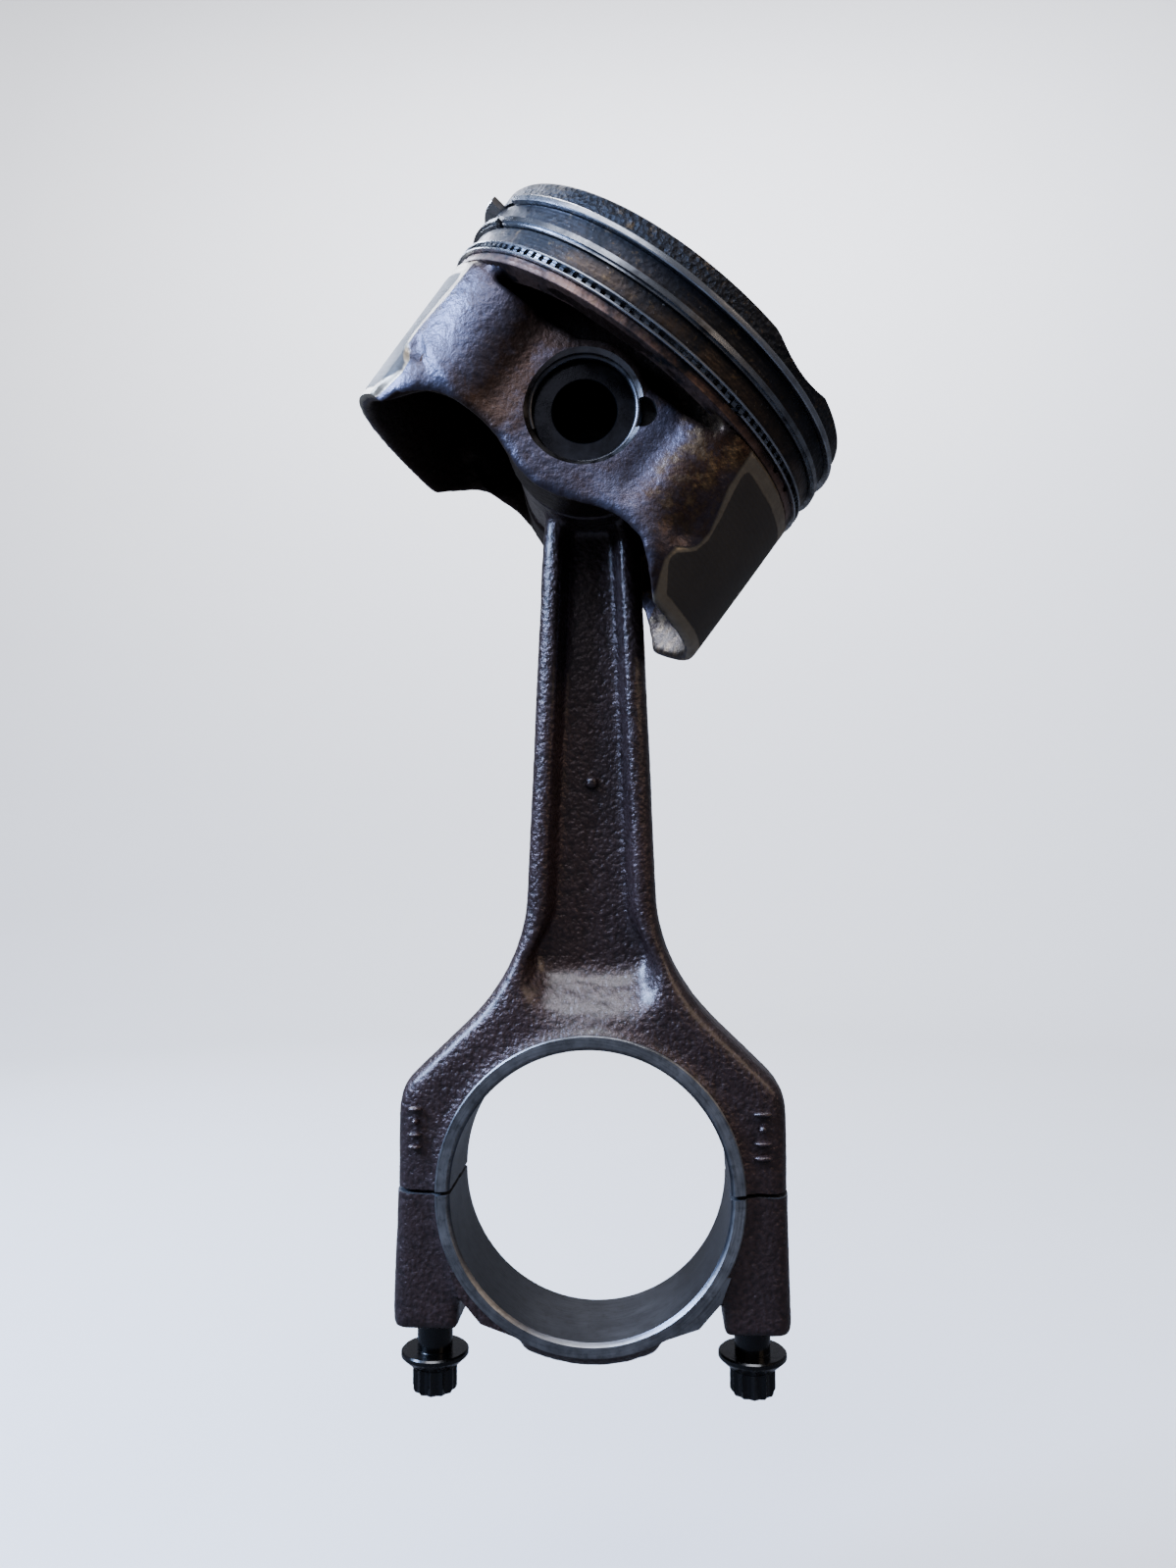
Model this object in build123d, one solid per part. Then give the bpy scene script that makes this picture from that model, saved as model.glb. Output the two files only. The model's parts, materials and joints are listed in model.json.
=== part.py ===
"""Piston and connecting rod of a passenger-car engine, as separate loose-fitting parts.

Row frame: the origin is the middle of the crankpin bore, +Z runs up the rod towards the wrist pin,
+Y runs along the crankpin and wrist-pin axes, and +X is the thrust side.  The piston hangs over to
the thrust side by PISTON_TILT and the cap stands off the rod by PARTING_GAP, as when the pair has
been taken out of an engine and its bolts are backed off.  Millimetres throughout.
"""
import os
from math import cos, radians, sin

from build123d import *

# ---- driving dimensions: rod -------------------------------------------------------------------
CENTRE_DISTANCE = 144.0      # crankpin bore to wrist pin
CRANK_BORE_R = 26.5          # housing bore, for bearing shells on a 50 mm crankpin
BIG_END_WIDTH = 22.0         # across the ground thrust faces
THRUST_RING_R = 29.3
BORE_CHAMFER = 0.7
FORGED_WIDTH = 18.4          # across the rough ears
EAR_HALF_SPAN = 37.4
EAR_CORNER = 3.0
SHOULDER_Z = 15.5            # top of the ears' straight sides
SHOULDER_ROUND = 7.0
BEAM_WIDTH = 15.0            # through the beam, along Y
BEAM_FOOT_Z = 54.0
BEAM_FOOT_HALF = 12.7
BEAM_NECK_Z = 122.0
BEAM_NECK_HALF = 9.9
FLANGE_WIDTH = 3.4
WEB_THICKNESS = 4.0
POCKET_DRAFT = 2.2           # how far the recess draws in from its mouth to its floor
POCKET_SCOOP = 4.6           # its lower end slopes out this much more gently than its sides
POCKET_TOP_Z = 126.0
SMALL_END_R = 15.2
SMALL_END_WIDTH = 21.0

# ---- driving dimensions: cap and bolts -------------------------------------------------------
PARTING_GAP = 0.8
CAP_BAND_R = 31.4            # rough band under the bore
CAP_SEAT_Z = -25.7           # bolt seats, from the cap's own parting face
CAP_LUG = ((20, -14), (26.5, -14), (24.9, -18.6), (20.6, -23.6), (14, -25.6))
CAP_BAND = ((-17.5, -20), (-12.5, -28.8), (12.5, -28.8), (17.5, -20))
EAR_INNER_X = 25.0
BOLT_X = 31.0
BOLT_R = 3.5
BOLT_HOLE_R = 3.58
BOLT_LENGTH = 40.0           # under the flange
BOLT_HOLE_TOP = 16.5
FLANGE_R = 6.6
FLANGE_RIM = 1.3
FLANGE_CONE = 2.0
HEAD_R = 4.4
HEAD_HEIGHT = 4.5
BOLT_GAP = {"left": 6.7, "right": 5.7}    # flange to seat, bolts backed off

# ---- driving dimensions: wrist pin ---------------------------------------------------------
PIN_R = 9.97
PIN_BORE_R = 10.0
PIN_HOLE_R = 5.9
PIN_HALF = 26.2
BUSH_R = 11.5
CLIP_WIRE_R = 0.7
CLIP_Y = 27.1
CLIP_GROOVE_R = 10.75

# ---- driving dimensions: piston --------------------------------------------------------------
PISTON_TILT = 36.3           # degrees, crown towards +X
PIN_OFFSET = 1.6             # the piston's axis lies this far to -X of the pin
SKIRT_R = 42.0
LAND_R = 41.5
CROWN_Z = 28.9               # heights are measured from the pin axis
BELT_Z = 11.3
CROWN_THICKNESS = 6.4
SKIRT_Z = -21.2
MINOR_SKIRT_Z = -20.2        # the minor-thrust skirt, on the -X side, is a little shorter
SKIRT_HALF_ANGLE = 40.0
SKIRT_THICKNESS = 2.6
BELT_WALL_R = 34.7
BOSS_FACE_Y = 29.6
PANEL_BULGE_Y = 30.6
BOSS_INNER_Y = 12.2
BOSS_R = 15.8
NOTCH_R = 2.8
NOTCH_AT = (9.3, 5.0)
RING_PLAY = 0.04
# name: lowest and highest face of the ring, inner and outer radius, middle and width of its gap
RINGS = {
    "top_compression_ring": (23.85, 25.05, 39.6, 42.7, 215.0, 10.0),
    "second_compression_ring": (18.65, 20.15, 39.4, 42.6, 221.5, 4.0),
    "oil_ring_upper_rail": (14.55, 15.0, 39.2, 42.3, 35.0, 4.0),
    "oil_ring_expander": (13.57, 14.48, 38.9, 41.2, 120.0, 0.8),
    "oil_ring_lower_rail": (13.05, 13.5, 39.2, 42.3, 306.5, 4.5),
}
GROOVES = ((23.85, 25.05), (18.65, 20.15), (13.05, 15.0))
GROOVE_ROOT_R = 37.9
HOOK_HEIGHT = 0.45
HOOK_DEPTH = 0.5
HOOK_STOP = 13.5             # degrees of full section left at each ring end
POCKET = {"inlet": (27.0, 16.3, 2.0, 44.0), "exhaust": (24.5, 13.6, 1.3, 136.0)}


def save(name, shape):
    """Write one node, as a part or a group of separate solids."""
    shape.label = name
    export_step(shape, f"parts/{name}.step")


def on_piston(shape):
    """Carry a shape from the piston's frame, with the pin axis at its origin, to the row frame."""
    return Pos(0, 0, CENTRE_DISTANCE) * Rot(0, PISTON_TILT, 0) * shape


def along_y(radius, y0, y1, x=0.0, z=0.0):
    """A round bar along Y."""
    bar = Cylinder(radius, y1 - y0, align=(Align.CENTER, Align.CENTER, Align.MIN))
    return Pos(x, y0, z) * Rot(-90, 0, 0) * bar


def block(x0, x1, y0, y1, z0, z1):
    return Pos((x0 + x1) / 2, (y0 + y1) / 2, (z0 + z1) / 2) * Box(x1 - x0, y1 - y0, z1 - z0)


def side_plate(face, half_width):
    """Extrude an XZ outline both ways along Y."""
    return extrude(face, amount=half_width, both=True)


def ring_of(profile_points, start=0.0, sweep=360.0):
    """Revolve a closed (radius, height) outline about Z."""
    face = make_face(Plane.XZ * Polyline(*profile_points, close=True))
    return Rot(0, 0, start) * revolve(face, axis=Axis.Z, revolution_arc=sweep)


# ---- rod ----------------------------------------------------------------------------------------
def rod_outline():
    """The rod seen along Y: ears, sloping shoulders, waist, tapered beam and eye."""
    half = [(EAR_HALF_SPAN, 0), (EAR_HALF_SPAN, SHOULDER_Z)]
    knee = (EAR_HALF_SPAN - 0.29 * SHOULDER_ROUND, SHOULDER_Z + 0.71 * SHOULDER_ROUND)
    slope_end = (24.0, knee[1] + (knee[0] - 24.0) * 0.95)
    foot = (BEAM_FOOT_HALF, BEAM_FOOT_Z)
    neck = (BEAM_NECK_HALF, BEAM_NECK_Z)
    top = (BEAM_NECK_HALF - 1.5, CENTRE_DISTANCE)
    sides = []
    for s in (1, -1):
        a, b, c, d, e, f = [(s * x, z) for x, z in (*half, knee, slope_end, foot, neck)]
        sides += [Line(a, b), RadiusArc(b, c, -s * SHOULDER_ROUND), Line(c, d)]
        sides += [TangentArc(d, e, tangent=(-s * 0.725, 0.689)), Line(e, f), Line(f, (s * top[0], top[1]))]
    sides += [Line(top, (-top[0], top[1])), Line((EAR_HALF_SPAN, 0), (-EAR_HALF_SPAN, 0))]
    return make_face([Plane.XZ * edge for edge in sides])


def rod_side_profile():
    """The rod seen along X: thick at the ears, thinner up the beam."""
    ear, beam = FORGED_WIDTH / 2, BEAM_WIDTH / 2
    right = [(ear, -1), (ear, 25)]
    line = Line(*right)
    ease = Spline((ear, 25), (beam, 56), tangents=((0, 1), (0, 1)))
    up = Line((beam, 56), (beam - 0.4, CENTRE_DISTANCE + 2))
    left = [mirror(edge, Plane.YZ) for edge in (line, ease, up)]
    caps = [Line((-ear, -1), (ear, -1))]
    caps.append(Line((beam - 0.4, CENTRE_DISTANCE + 2), (0.4 - beam, CENTRE_DISTANCE + 2)))
    return make_face([Plane.YZ * edge for edge in (line, ease, up, *left, *caps)])


def pocket_outline(inset):
    """The I-beam recess seen along Y: narrow at the neck, flared into two lobes over the thrust ring."""
    neck, foot = BEAM_NECK_HALF - FLANGE_WIDTH - inset, BEAM_FOOT_HALF - FLANGE_WIDTH - inset
    rise = POCKET_SCOOP * inset
    toe = (13.6 - inset, 37.0 + 0.7 * rise)
    lip = (5.5, 30.8 + rise)
    flank = Line((neck, POCKET_TOP_Z), (foot, BEAM_FOOT_Z))
    flare = Spline((foot, BEAM_FOOT_Z), (11.6 - inset, 43.5 + 0.5 * rise), toe,
                   (10.9 - 0.8 * inset, 32.2 + 0.9 * rise), lip, tangents=((0.04, -1), (-1, 0)))
    edges = [flank, flare]
    edges += [mirror(edge, Plane.YZ) for edge in edges]
    edges.append(Line(lip, (-lip[0], lip[1])))
    edges.append(ThreePointArc((neck, POCKET_TOP_Z), (0, POCKET_TOP_Z + neck), (-neck, POCKET_TOP_Z)))
    return make_face([Plane.XZ * edge for edge in edges])


def beam_pocket(side):
    """The drafted recess on one side of the I-beam."""
    mouth_y, floor_y = FORGED_WIDTH / 2 + 0.5, WEB_THICKNESS / 2
    mouth = Pos(0, side * mouth_y, 0) * pocket_outline(0)
    floor = Pos(0, side * floor_y, 0) * pocket_outline(POCKET_DRAFT)
    return loft([mouth, floor])


def connecting_rod():
    body = side_plate(rod_outline(), FORGED_WIDTH / 2 + 1)
    body &= extrude(rod_side_profile(), amount=EAR_HALF_SPAN + 5, both=True)
    corners = [e for e in body.edges().filter_by(Axis.Z) if e.center().Z < SHOULDER_Z]
    body = fillet(corners, EAR_CORNER)
    for side in (1, -1):
        body -= beam_pocket(side)
    ring = along_y(THRUST_RING_R, -BIG_END_WIDTH / 2, BIG_END_WIDTH / 2)
    ring &= block(-40, 40, -20, 20, 0, 60)
    eye = along_y(SMALL_END_R, -SMALL_END_WIDTH / 2, SMALL_END_WIDTH / 2, z=CENTRE_DISTANCE)
    body = body + ring + eye
    body -= bore_tool()
    body -= along_y(BUSH_R, -20, 20, z=CENTRE_DISTANCE)
    drill = Cylinder(BOLT_HOLE_R, BOLT_HOLE_TOP, align=(Align.CENTER, Align.CENTER, Align.MIN))
    for x in (-BOLT_X, BOLT_X):
        body -= Pos(x, 0, 0) * drill
    return body


def bore_tool():
    """The crankpin bore with a chamfer at each thrust face."""
    half = BIG_END_WIDTH / 2
    tool = along_y(CRANK_BORE_R, -half - 1, half + 1)
    for s in (1, -1):
        cone = Cone(CRANK_BORE_R + BORE_CHAMFER + 1, CRANK_BORE_R, BORE_CHAMFER + 1,
                    align=(Align.CENTER, Align.CENTER, Align.MIN))
        tool += Pos(0, s * (half + 1), 0) * Rot(s * 90, 0, 0) * cone
    return tool


def small_end_bush():
    bush = along_y(BUSH_R, -SMALL_END_WIDTH / 2, SMALL_END_WIDTH / 2)
    bush -= along_y(PIN_BORE_R, -20, 20)
    return Pos(0, 0, CENTRE_DISTANCE) * bush


# ---- cap and bolts ------------------------------------------------------------------------------
def rod_cap():
    """Cap in its own frame, with its parting face at z = 0."""
    half = BIG_END_WIDTH / 2
    below = block(-45, 45, -20, 20, -60, 0)
    cap = along_y(THRUST_RING_R, -half, half)
    for s in (1, -1):
        outline = [(s * x, z) for x, z in CAP_LUG]
        cap += side_plate(make_face(Plane.XZ * Polyline(*outline, close=True)), half)
    band = make_face(Plane.XZ * Polyline(*CAP_BAND, close=True))
    cap += side_plate(band, half - 1.2) & along_y(CAP_BAND_R, -half, half)
    cap += along_y(CAP_BAND_R, -half + 1.2, half - 1.2) & block(-12.5, 12.5, -20, 20, -40, -20)
    for s in (1, -1):
        x0, x1 = sorted((s * 20, s * EAR_HALF_SPAN))
        ear = block(x0, x1, -FORGED_WIDTH / 2, FORGED_WIDTH / 2, CAP_SEAT_Z, 0)
        outer = [e for e in ear.edges().filter_by(Axis.Z) if abs(e.center().X) > EAR_INNER_X]
        ear = fillet(outer, EAR_CORNER)
        inner_x = sorted((s * 15.0, s * EAR_INNER_X))
        ear -= block(inner_x[0], inner_x[1], -20, 20, CAP_SEAT_Z - 5, -15.5)
        cap += ear
    cap &= below
    cap -= bore_tool()
    for x in (-BOLT_X, BOLT_X):
        cap -= Pos(x, 0, CAP_SEAT_Z / 2) * Cylinder(BOLT_HOLE_R, 40)
    return Pos(0, 0, -PARTING_GAP) * cap


def star_face(points, radius, depth):
    """A twelve-point outline: tips at radius, valleys in by depth."""
    step = 360 / points
    ring = []
    for i in range(points):
        for r, a in ((radius, i * step), (radius - depth, (i + 0.5) * step)):
            ring.append((r * cos(radians(a)), r * sin(radians(a))))
    return make_face(Polyline(*ring, close=True))


def rod_bolt(side):
    """Flanged twelve-point bolt, head down, with its flange's upper face at z = 0."""
    x = -BOLT_X if side == "left" else BOLT_X
    low = -FLANGE_RIM - FLANGE_CONE
    flange = ring_of([(0, 0), (FLANGE_R - 0.2, 0), (FLANGE_R, -0.2), (FLANGE_R, -FLANGE_RIM),
                      (HEAD_R, low), (0, low)])
    head = Pos(0, 0, low - HEAD_HEIGHT) * extrude(star_face(12, HEAD_R, 0.62), amount=HEAD_HEIGHT + 0.2)
    tip = low - HEAD_HEIGHT
    point = ring_of([(0, tip), (HEAD_R - 1.2, tip), (HEAD_R + 0.2, tip + 1.3), (HEAD_R + 0.2, low + 0.2),
                     (0, low + 0.2)])
    shank = ring_of([(0, -0.5), (BOLT_R, -0.5), (BOLT_R, BOLT_LENGTH - 1), (BOLT_R - 0.9, BOLT_LENGTH),
                     (0, BOLT_LENGTH)])
    bolt = flange + (head & point) + shank
    flange_z = CAP_SEAT_Z - PARTING_GAP - BOLT_GAP[side]
    return Pos(x, 0, flange_z) * bolt


# ---- piston -------------------------------------------------------------------------------------
def panel_outline(inset):
    """The skirts and side panels seen along Z, drawn in by inset."""
    skirt_r = SKIRT_R - inset
    a = radians(SKIRT_HALF_ANGLE)
    edges = []
    corner_x, corner_y = skirt_r * cos(a), skirt_r * sin(a)
    for s in (1, -1):
        x = -PIN_OFFSET + s * corner_x
        edges.append(ThreePointArc((x, -corner_y), (-PIN_OFFSET + s * skirt_r, 0), (x, corner_y)))
    bulge, flat = PANEL_BULGE_Y - inset, BOSS_FACE_Y - inset
    for s in (1, -1):
        wall = Spline((-PIN_OFFSET - corner_x, s * corner_y), (-21, s * bulge), (-11, s * flat),
                      (0, s * flat), (11, s * flat), (20, s * bulge), (-PIN_OFFSET + corner_x, s * corner_y))
        edges.append(wall)
    return make_face(edges)


def upper_cavity():
    """The space under the crown, behind the ring belt."""
    face = make_face(CenterArc((-PIN_OFFSET, 0), BELT_WALL_R, 0, 360))
    face &= make_face(Polyline((-40, -21), (40, -21), (40, 21), (-40, 21), close=True))
    return extrude(face, amount=CROWN_Z - CROWN_THICKNESS)


def underside():
    """The whole hollow: open below, with the two pin bosses left standing in it."""
    low = Pos(0, 0, SKIRT_Z - 2) * extrude(panel_outline(SKIRT_THICKNESS), amount=-(SKIRT_Z - 2) + 7)
    hollow = low + upper_cavity()
    for s in (1, -1):
        y = sorted((s * BOSS_INNER_Y, s * 40))
        boss = along_y(BOSS_R, y[0], y[1])
        boss += block(-12.5, 12.5, y[0], y[1], 0, CROWN_Z)
        hollow -= boss
    return hollow


def panel_arches():
    """Cutter that scallops the bottom of both side panels between the skirts."""
    edge = Spline((-31.5, -21.5), (-28.5, -15.8), (-23.5, -13.0), (-17, -12.4), (-10, -13.4), (-4, -15.7),
                  (2.5, -16.6), (8, -15.3), (13, -13.4), (18.5, -12.9), (23.5, -13.8), (27.5, -16.6),
                  (30, -21.5))
    floor = Polyline((-31.5, -21.5), (-31.5, -30), (30, -30), (30, -21.5))
    cutter = side_plate(make_face([Plane.XZ * edge, Plane.XZ * floor]), 50)
    return cutter


def belt_recess(side):
    """Cast pocket between the ring belt and the panel below it."""
    under = block(-27, 23, 24, 42, 9.4, BELT_Z) + \
        (block(-27, 23, 24, 34, 9.4, 17.0) & Pos(-PIN_OFFSET, 0, 0) * Cylinder(BELT_WALL_R + 0.6, 60))
    return under if side > 0 else mirror(under, Plane.XZ)


def valve_pocket(distance, radius, depth, angle):
    """A flat-bottomed relief with a 45-degree wall."""
    cone = Cone(radius - depth, radius + 1, depth + 1, align=(Align.CENTER, Align.CENTER, Align.MIN))
    x, y = distance * cos(radians(angle)), distance * sin(radians(angle))
    return Pos(x - PIN_OFFSET, y, CROWN_Z - depth) * cone


def piston():
    crown = [(0, BELT_Z), (LAND_R, BELT_Z), (LAND_R, CROWN_Z - 0.4), (LAND_R - 0.4, CROWN_Z), (0, CROWN_Z)]
    belt = Pos(-PIN_OFFSET, 0, 0) * ring_of(crown)
    box = Pos(0, 0, SKIRT_Z) * extrude(panel_outline(0), amount=BELT_Z + 0.5 - SKIRT_Z)
    body = belt + (box & Pos(-PIN_OFFSET, 0, 0) * Cylinder(SKIRT_R + 1, 120))
    body -= underside()
    body -= panel_arches()
    body -= block(-50, -20, -50, 50, SKIRT_Z - 1, MINOR_SKIRT_Z)
    for s in (1, -1):
        body -= belt_recess(s)
    for low, high in GROOVES:
        groove = [(GROOVE_ROOT_R, low - RING_PLAY), (50, low - RING_PLAY), (50, high + RING_PLAY),
                  (GROOVE_ROOT_R, high + RING_PLAY)]
        body -= Pos(-PIN_OFFSET, 0, 0) * ring_of(groove)
    body -= along_y(PIN_BORE_R, -50, 50)
    for s in (1, -1):
        y0, y1 = sorted((s * (CLIP_Y - CLIP_WIRE_R - 0.05), s * (CLIP_Y + CLIP_WIRE_R + 0.05)))
        body -= along_y(CLIP_GROOVE_R, y0, y1)
        mouth = Cone(PIN_BORE_R, PIN_BORE_R + 2.5, 2.5, align=(Align.CENTER, Align.CENTER, Align.MIN))
        body -= Pos(0, s * (BOSS_FACE_Y - 0.7), 0) * Rot(-s * 90, 0, 0) * mouth
        n0, n1 = sorted((s * 26.3, s * 40))
        body -= along_y(NOTCH_R, n0, n1, x=NOTCH_AT[0], z=NOTCH_AT[1])
    for distance, radius, depth, angle in POCKET.values():
        for a in (angle, -angle):
            body -= valve_pocket(distance, radius, depth, a)
    for angle in (22, 31, 329, 338, 149, 158, 202, 211):
        a = radians(angle)
        body -= Pos(LAND_R * cos(a) - PIN_OFFSET, LAND_R * sin(a), BELT_Z + 1.0) * Rot(0, 0, angle) * \
            Box(2.4, 1.8, 1.8, align=(Align.CENTER, Align.CENTER, Align.MIN))
    return on_piston(body)


def piston_ring(name):
    low, high, inner, outer, gap_at, gap = RINGS[name]
    start = gap_at + gap / 2
    sweep = 360 - gap
    if name == "second_compression_ring":
        full = [(inner, low), (outer, low), (outer - 0.06, high), (inner, high)]
        hook = [(inner, low), (outer - HOOK_DEPTH, low), (outer - HOOK_DEPTH, low + HOOK_HEIGHT),
                (outer, low + HOOK_HEIGHT), (outer - 0.06, high), (inner, high)]
        ring = ring_of(full, start, HOOK_STOP) + ring_of(hook, start + HOOK_STOP, sweep - 2 * HOOK_STOP)
        ring += ring_of(full, start + sweep - HOOK_STOP, HOOK_STOP)
    else:
        edge = 0.12 if high - low > 1 else 0.05
        section = [(inner, low), (outer - edge, low), (outer, low + edge), (outer, high - edge),
                   (outer - edge, high), (inner, high)]
        ring = ring_of(section, start, sweep)
    return on_piston(Pos(-PIN_OFFSET, 0, 0) * ring)


def wrist_pin():
    pin = ring_of([(PIN_HOLE_R, -PIN_HALF), (PIN_R - 0.5, -PIN_HALF), (PIN_R, -PIN_HALF + 0.5),
                   (PIN_R, PIN_HALF - 0.5), (PIN_R - 0.5, PIN_HALF), (PIN_HOLE_R, PIN_HALF)])
    return Pos(0, 0, CENTRE_DISTANCE) * Rot(90, 0, 0) * pin


def circlip(side):
    """Open round-wire clip in the groove outside one end of the wrist pin."""
    centre_r = CLIP_GROOVE_R - CLIP_WIRE_R - 0.05
    opening = 62
    wire = Plane.XZ * Pos(centre_r, 0) * Circle(CLIP_WIRE_R)
    clip = revolve(wire, axis=Axis.Z, revolution_arc=360 - opening)
    return on_piston(Pos(0, side * CLIP_Y, 0) * Rot(90, 0, 0) * Rot(0, 0, -60) * clip)


def main():
    os.makedirs("parts", exist_ok=True)
    save("connecting_rod", connecting_rod())
    save("small_end_bush", small_end_bush())
    save("rod_cap", rod_cap())
    for side in BOLT_GAP:
        save(f"rod_bolt_{side}", rod_bolt(side))
    save("piston", piston())
    for name in RINGS:
        save(name, piston_ring(name))
    save("wrist_pin", wrist_pin())
    save("circlip_front", circlip(-1))
    save("circlip_rear", circlip(1))


main()
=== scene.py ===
"""Used car-engine piston on its split forged rod: the finished surfaces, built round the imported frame.

Metres, in the row frame: origin in the middle of the crankpin bore, +Z up the rod to the wrist pin,
+Y along the pin axes away from the front face, +X the side the piston hangs to.
"""
import json
from math import atan2, cos, pi, radians, sin

import bmesh
import bpy
import numpy as np
from mathutils import Matrix, Vector, noise


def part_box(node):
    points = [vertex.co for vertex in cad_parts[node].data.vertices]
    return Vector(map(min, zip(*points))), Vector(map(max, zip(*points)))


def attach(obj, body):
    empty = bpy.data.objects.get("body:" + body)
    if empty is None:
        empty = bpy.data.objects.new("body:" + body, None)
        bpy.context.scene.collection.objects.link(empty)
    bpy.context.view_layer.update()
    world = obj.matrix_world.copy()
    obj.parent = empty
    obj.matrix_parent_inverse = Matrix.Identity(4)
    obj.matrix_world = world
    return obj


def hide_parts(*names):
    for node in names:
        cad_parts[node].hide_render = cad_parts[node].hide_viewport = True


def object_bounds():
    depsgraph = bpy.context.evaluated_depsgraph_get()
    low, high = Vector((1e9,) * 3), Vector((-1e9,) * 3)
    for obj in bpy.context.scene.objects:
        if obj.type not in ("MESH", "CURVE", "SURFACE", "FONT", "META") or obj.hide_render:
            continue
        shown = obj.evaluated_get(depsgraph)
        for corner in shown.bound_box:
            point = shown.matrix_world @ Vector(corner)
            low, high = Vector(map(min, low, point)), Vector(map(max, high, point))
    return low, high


bl_info = {
    "name": "Piston and connecting rod",
    "version": (1, 0, 0),
    "blender": (4, 5, 0),
    "location": "3D View > Sidebar > Piston",
    "description": "Builds a used piston with its rings, pin, forged rod, cap and bolts round a fixed frame",
    "category": "Object",
}

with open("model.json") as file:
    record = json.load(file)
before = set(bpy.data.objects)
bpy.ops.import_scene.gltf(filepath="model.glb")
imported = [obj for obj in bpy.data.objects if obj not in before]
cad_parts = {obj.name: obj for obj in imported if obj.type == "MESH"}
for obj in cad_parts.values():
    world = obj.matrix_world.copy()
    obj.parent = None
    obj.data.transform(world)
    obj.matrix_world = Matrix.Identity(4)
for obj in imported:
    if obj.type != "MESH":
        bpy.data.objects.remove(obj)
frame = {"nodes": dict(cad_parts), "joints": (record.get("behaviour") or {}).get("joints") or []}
CAD_BOX = [list(corner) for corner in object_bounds()]
NODES = frame["nodes"]
JOINTS = {joint["name"]: joint for joint in frame["joints"]}

MM = 0.001
TINY = 1e-7
# how near a frame corner lies to the plane it was cut on
NEAR = 1e-5
# a wave texture of scale 1 repeats every pi / 10 metres
WAVE = pi / 10


def pivot(joint):
    """Where a joint sits, in metres."""
    return Vector(JOINTS[joint].get("pos_m") or JOINTS[joint]["pos"])


PIN_AT = pivot("piston_swing")
RING_AXIS = Vector(JOINTS["top_compression_ring_turn"]["axis"])
TILT = atan2(RING_AXIS.x, RING_AXIS.z)
PISTON_TO_ROW = Matrix.Translation(PIN_AT) @ Matrix.Rotation(TILT, 4, "Y")
ROW_TO_PISTON = PISTON_TO_ROW.inverted()
# the piston's own axis stands off the pin axis towards the minor-thrust side
AXIS_X = (ROW_TO_PISTON @ pivot("top_compression_ring_turn")).x
ALONG_Y = Matrix.Rotation(-pi / 2, 4, "X")
# bottom and top of each ring groove, in mm above the pin axis
OIL_GROOVE, SECOND_GROOVE, TOP_GROOVE = (13.05, 15.0), (18.65, 20.15), (23.85, 25.05)
# the notch for prising a clip out, in the piston's frame
NOTCH_AT = Matrix.Translation((9.3 * MM, 0, 5 * MM))


# ---- sizes and colours that a user would change ---------------------------------------------------
def linear(hex_colour):
    """An sRGB hex colour as linear red, green, blue and alpha."""
    values = [int(hex_colour[i:i + 2], 16) / 255 for i in (1, 3, 5)]
    return [v / 12.92 if v <= 0.04045 else ((v + 0.055) / 1.055) ** 2.4 for v in values] + [1.0]


def length(name, description, default_mm):
    return bpy.props.FloatProperty(name=name, description=description, default=default_mm * MM,
                                   unit="LENGTH", precision=5)


def colour(name, description, hex_colour):
    return bpy.props.FloatVectorProperty(name=name, description=description, default=linear(hex_colour),
                                         size=4, subtype="COLOR")


def power(name, description, watts):
    return bpy.props.FloatProperty(name=name, description=description, default=watts, min=0.0, unit="POWER")


class RodSettings(bpy.types.PropertyGroup):
    mesh_size: length("Forging mesh", "Edge length of the forged skin's mesh", 0.55)
    pebble: length("Pebble", "Height of the shot-blasted pebbling", 0.06)
    pebble_size: length("Pebble size", "Distance between pebbles", 1.5)
    bore_radius: length("Crankpin bore", "Radius of the housing bore", 26.5)
    ring_radius: length("Thrust ring", "Outer radius of the ground thrust faces", 29.3)
    ring_half: length("Half width", "From the rod's mid-plane to a thrust face", 11.0)
    eye_radius: length("Small end", "Outer radius of the small end", 15.2)
    eye_half: length("Small-end half width", "From the mid-plane to the small end's face", 10.5)
    bush_radius: length("Bush seat", "Radius of the bore that the bush is pressed into", 11.5)
    bolt_x: length("Bolt line", "From the rod's middle to a bolt's axis", 31.0)
    drill_radius: length("Bolt hole", "Radius of the bolt holes", 3.58)
    drill_depth: length("Bolt hole depth", "From the parting face to the end of the hole", 16.5)
    parting: length("Parting gap", "How far the cap stands off the rod", 0.8)
    seat: length("Bolt seat", "From the rod's middle down to the cap's bolt seats", 26.5)
    forged: colour("Forged skin", "Oil-stained scale on the forging", "#3c2c2c")
    ground: colour("Ground faces", "Ground steel", "#a2a2a3")


class BoltSettings(bpy.types.PropertyGroup):
    shank_radius: length("Shank", "Radius of the plain shank", 3.45)
    thread_radius: length("Thread", "Outer radius of the thread", 3.5)
    thread_pitch: length("Pitch", "Distance between threads", 1.0)
    thread_length: length("Thread length", "Length of the threaded end", 17.0)
    bolt_length: length("Bolt length", "Under the flange", 40.0)
    flange_radius: length("Flange", "Radius of the flange", 6.6)
    flange_rim: length("Rim", "Height of the flange's rim", 1.3)
    flange_cone: length("Cone", "Height of the cone from the flange down to the head", 2.0)
    head_radius: length("Head", "Radius over the head's points", 4.4)
    head_height: length("Head height", "Height of the driven head", 4.5)
    points: bpy.props.IntProperty(name="Points", description="Points on the driven head", default=12, min=6)
    oxide: colour("Black oxide", "Oily black oxide", "#08090b")


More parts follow.
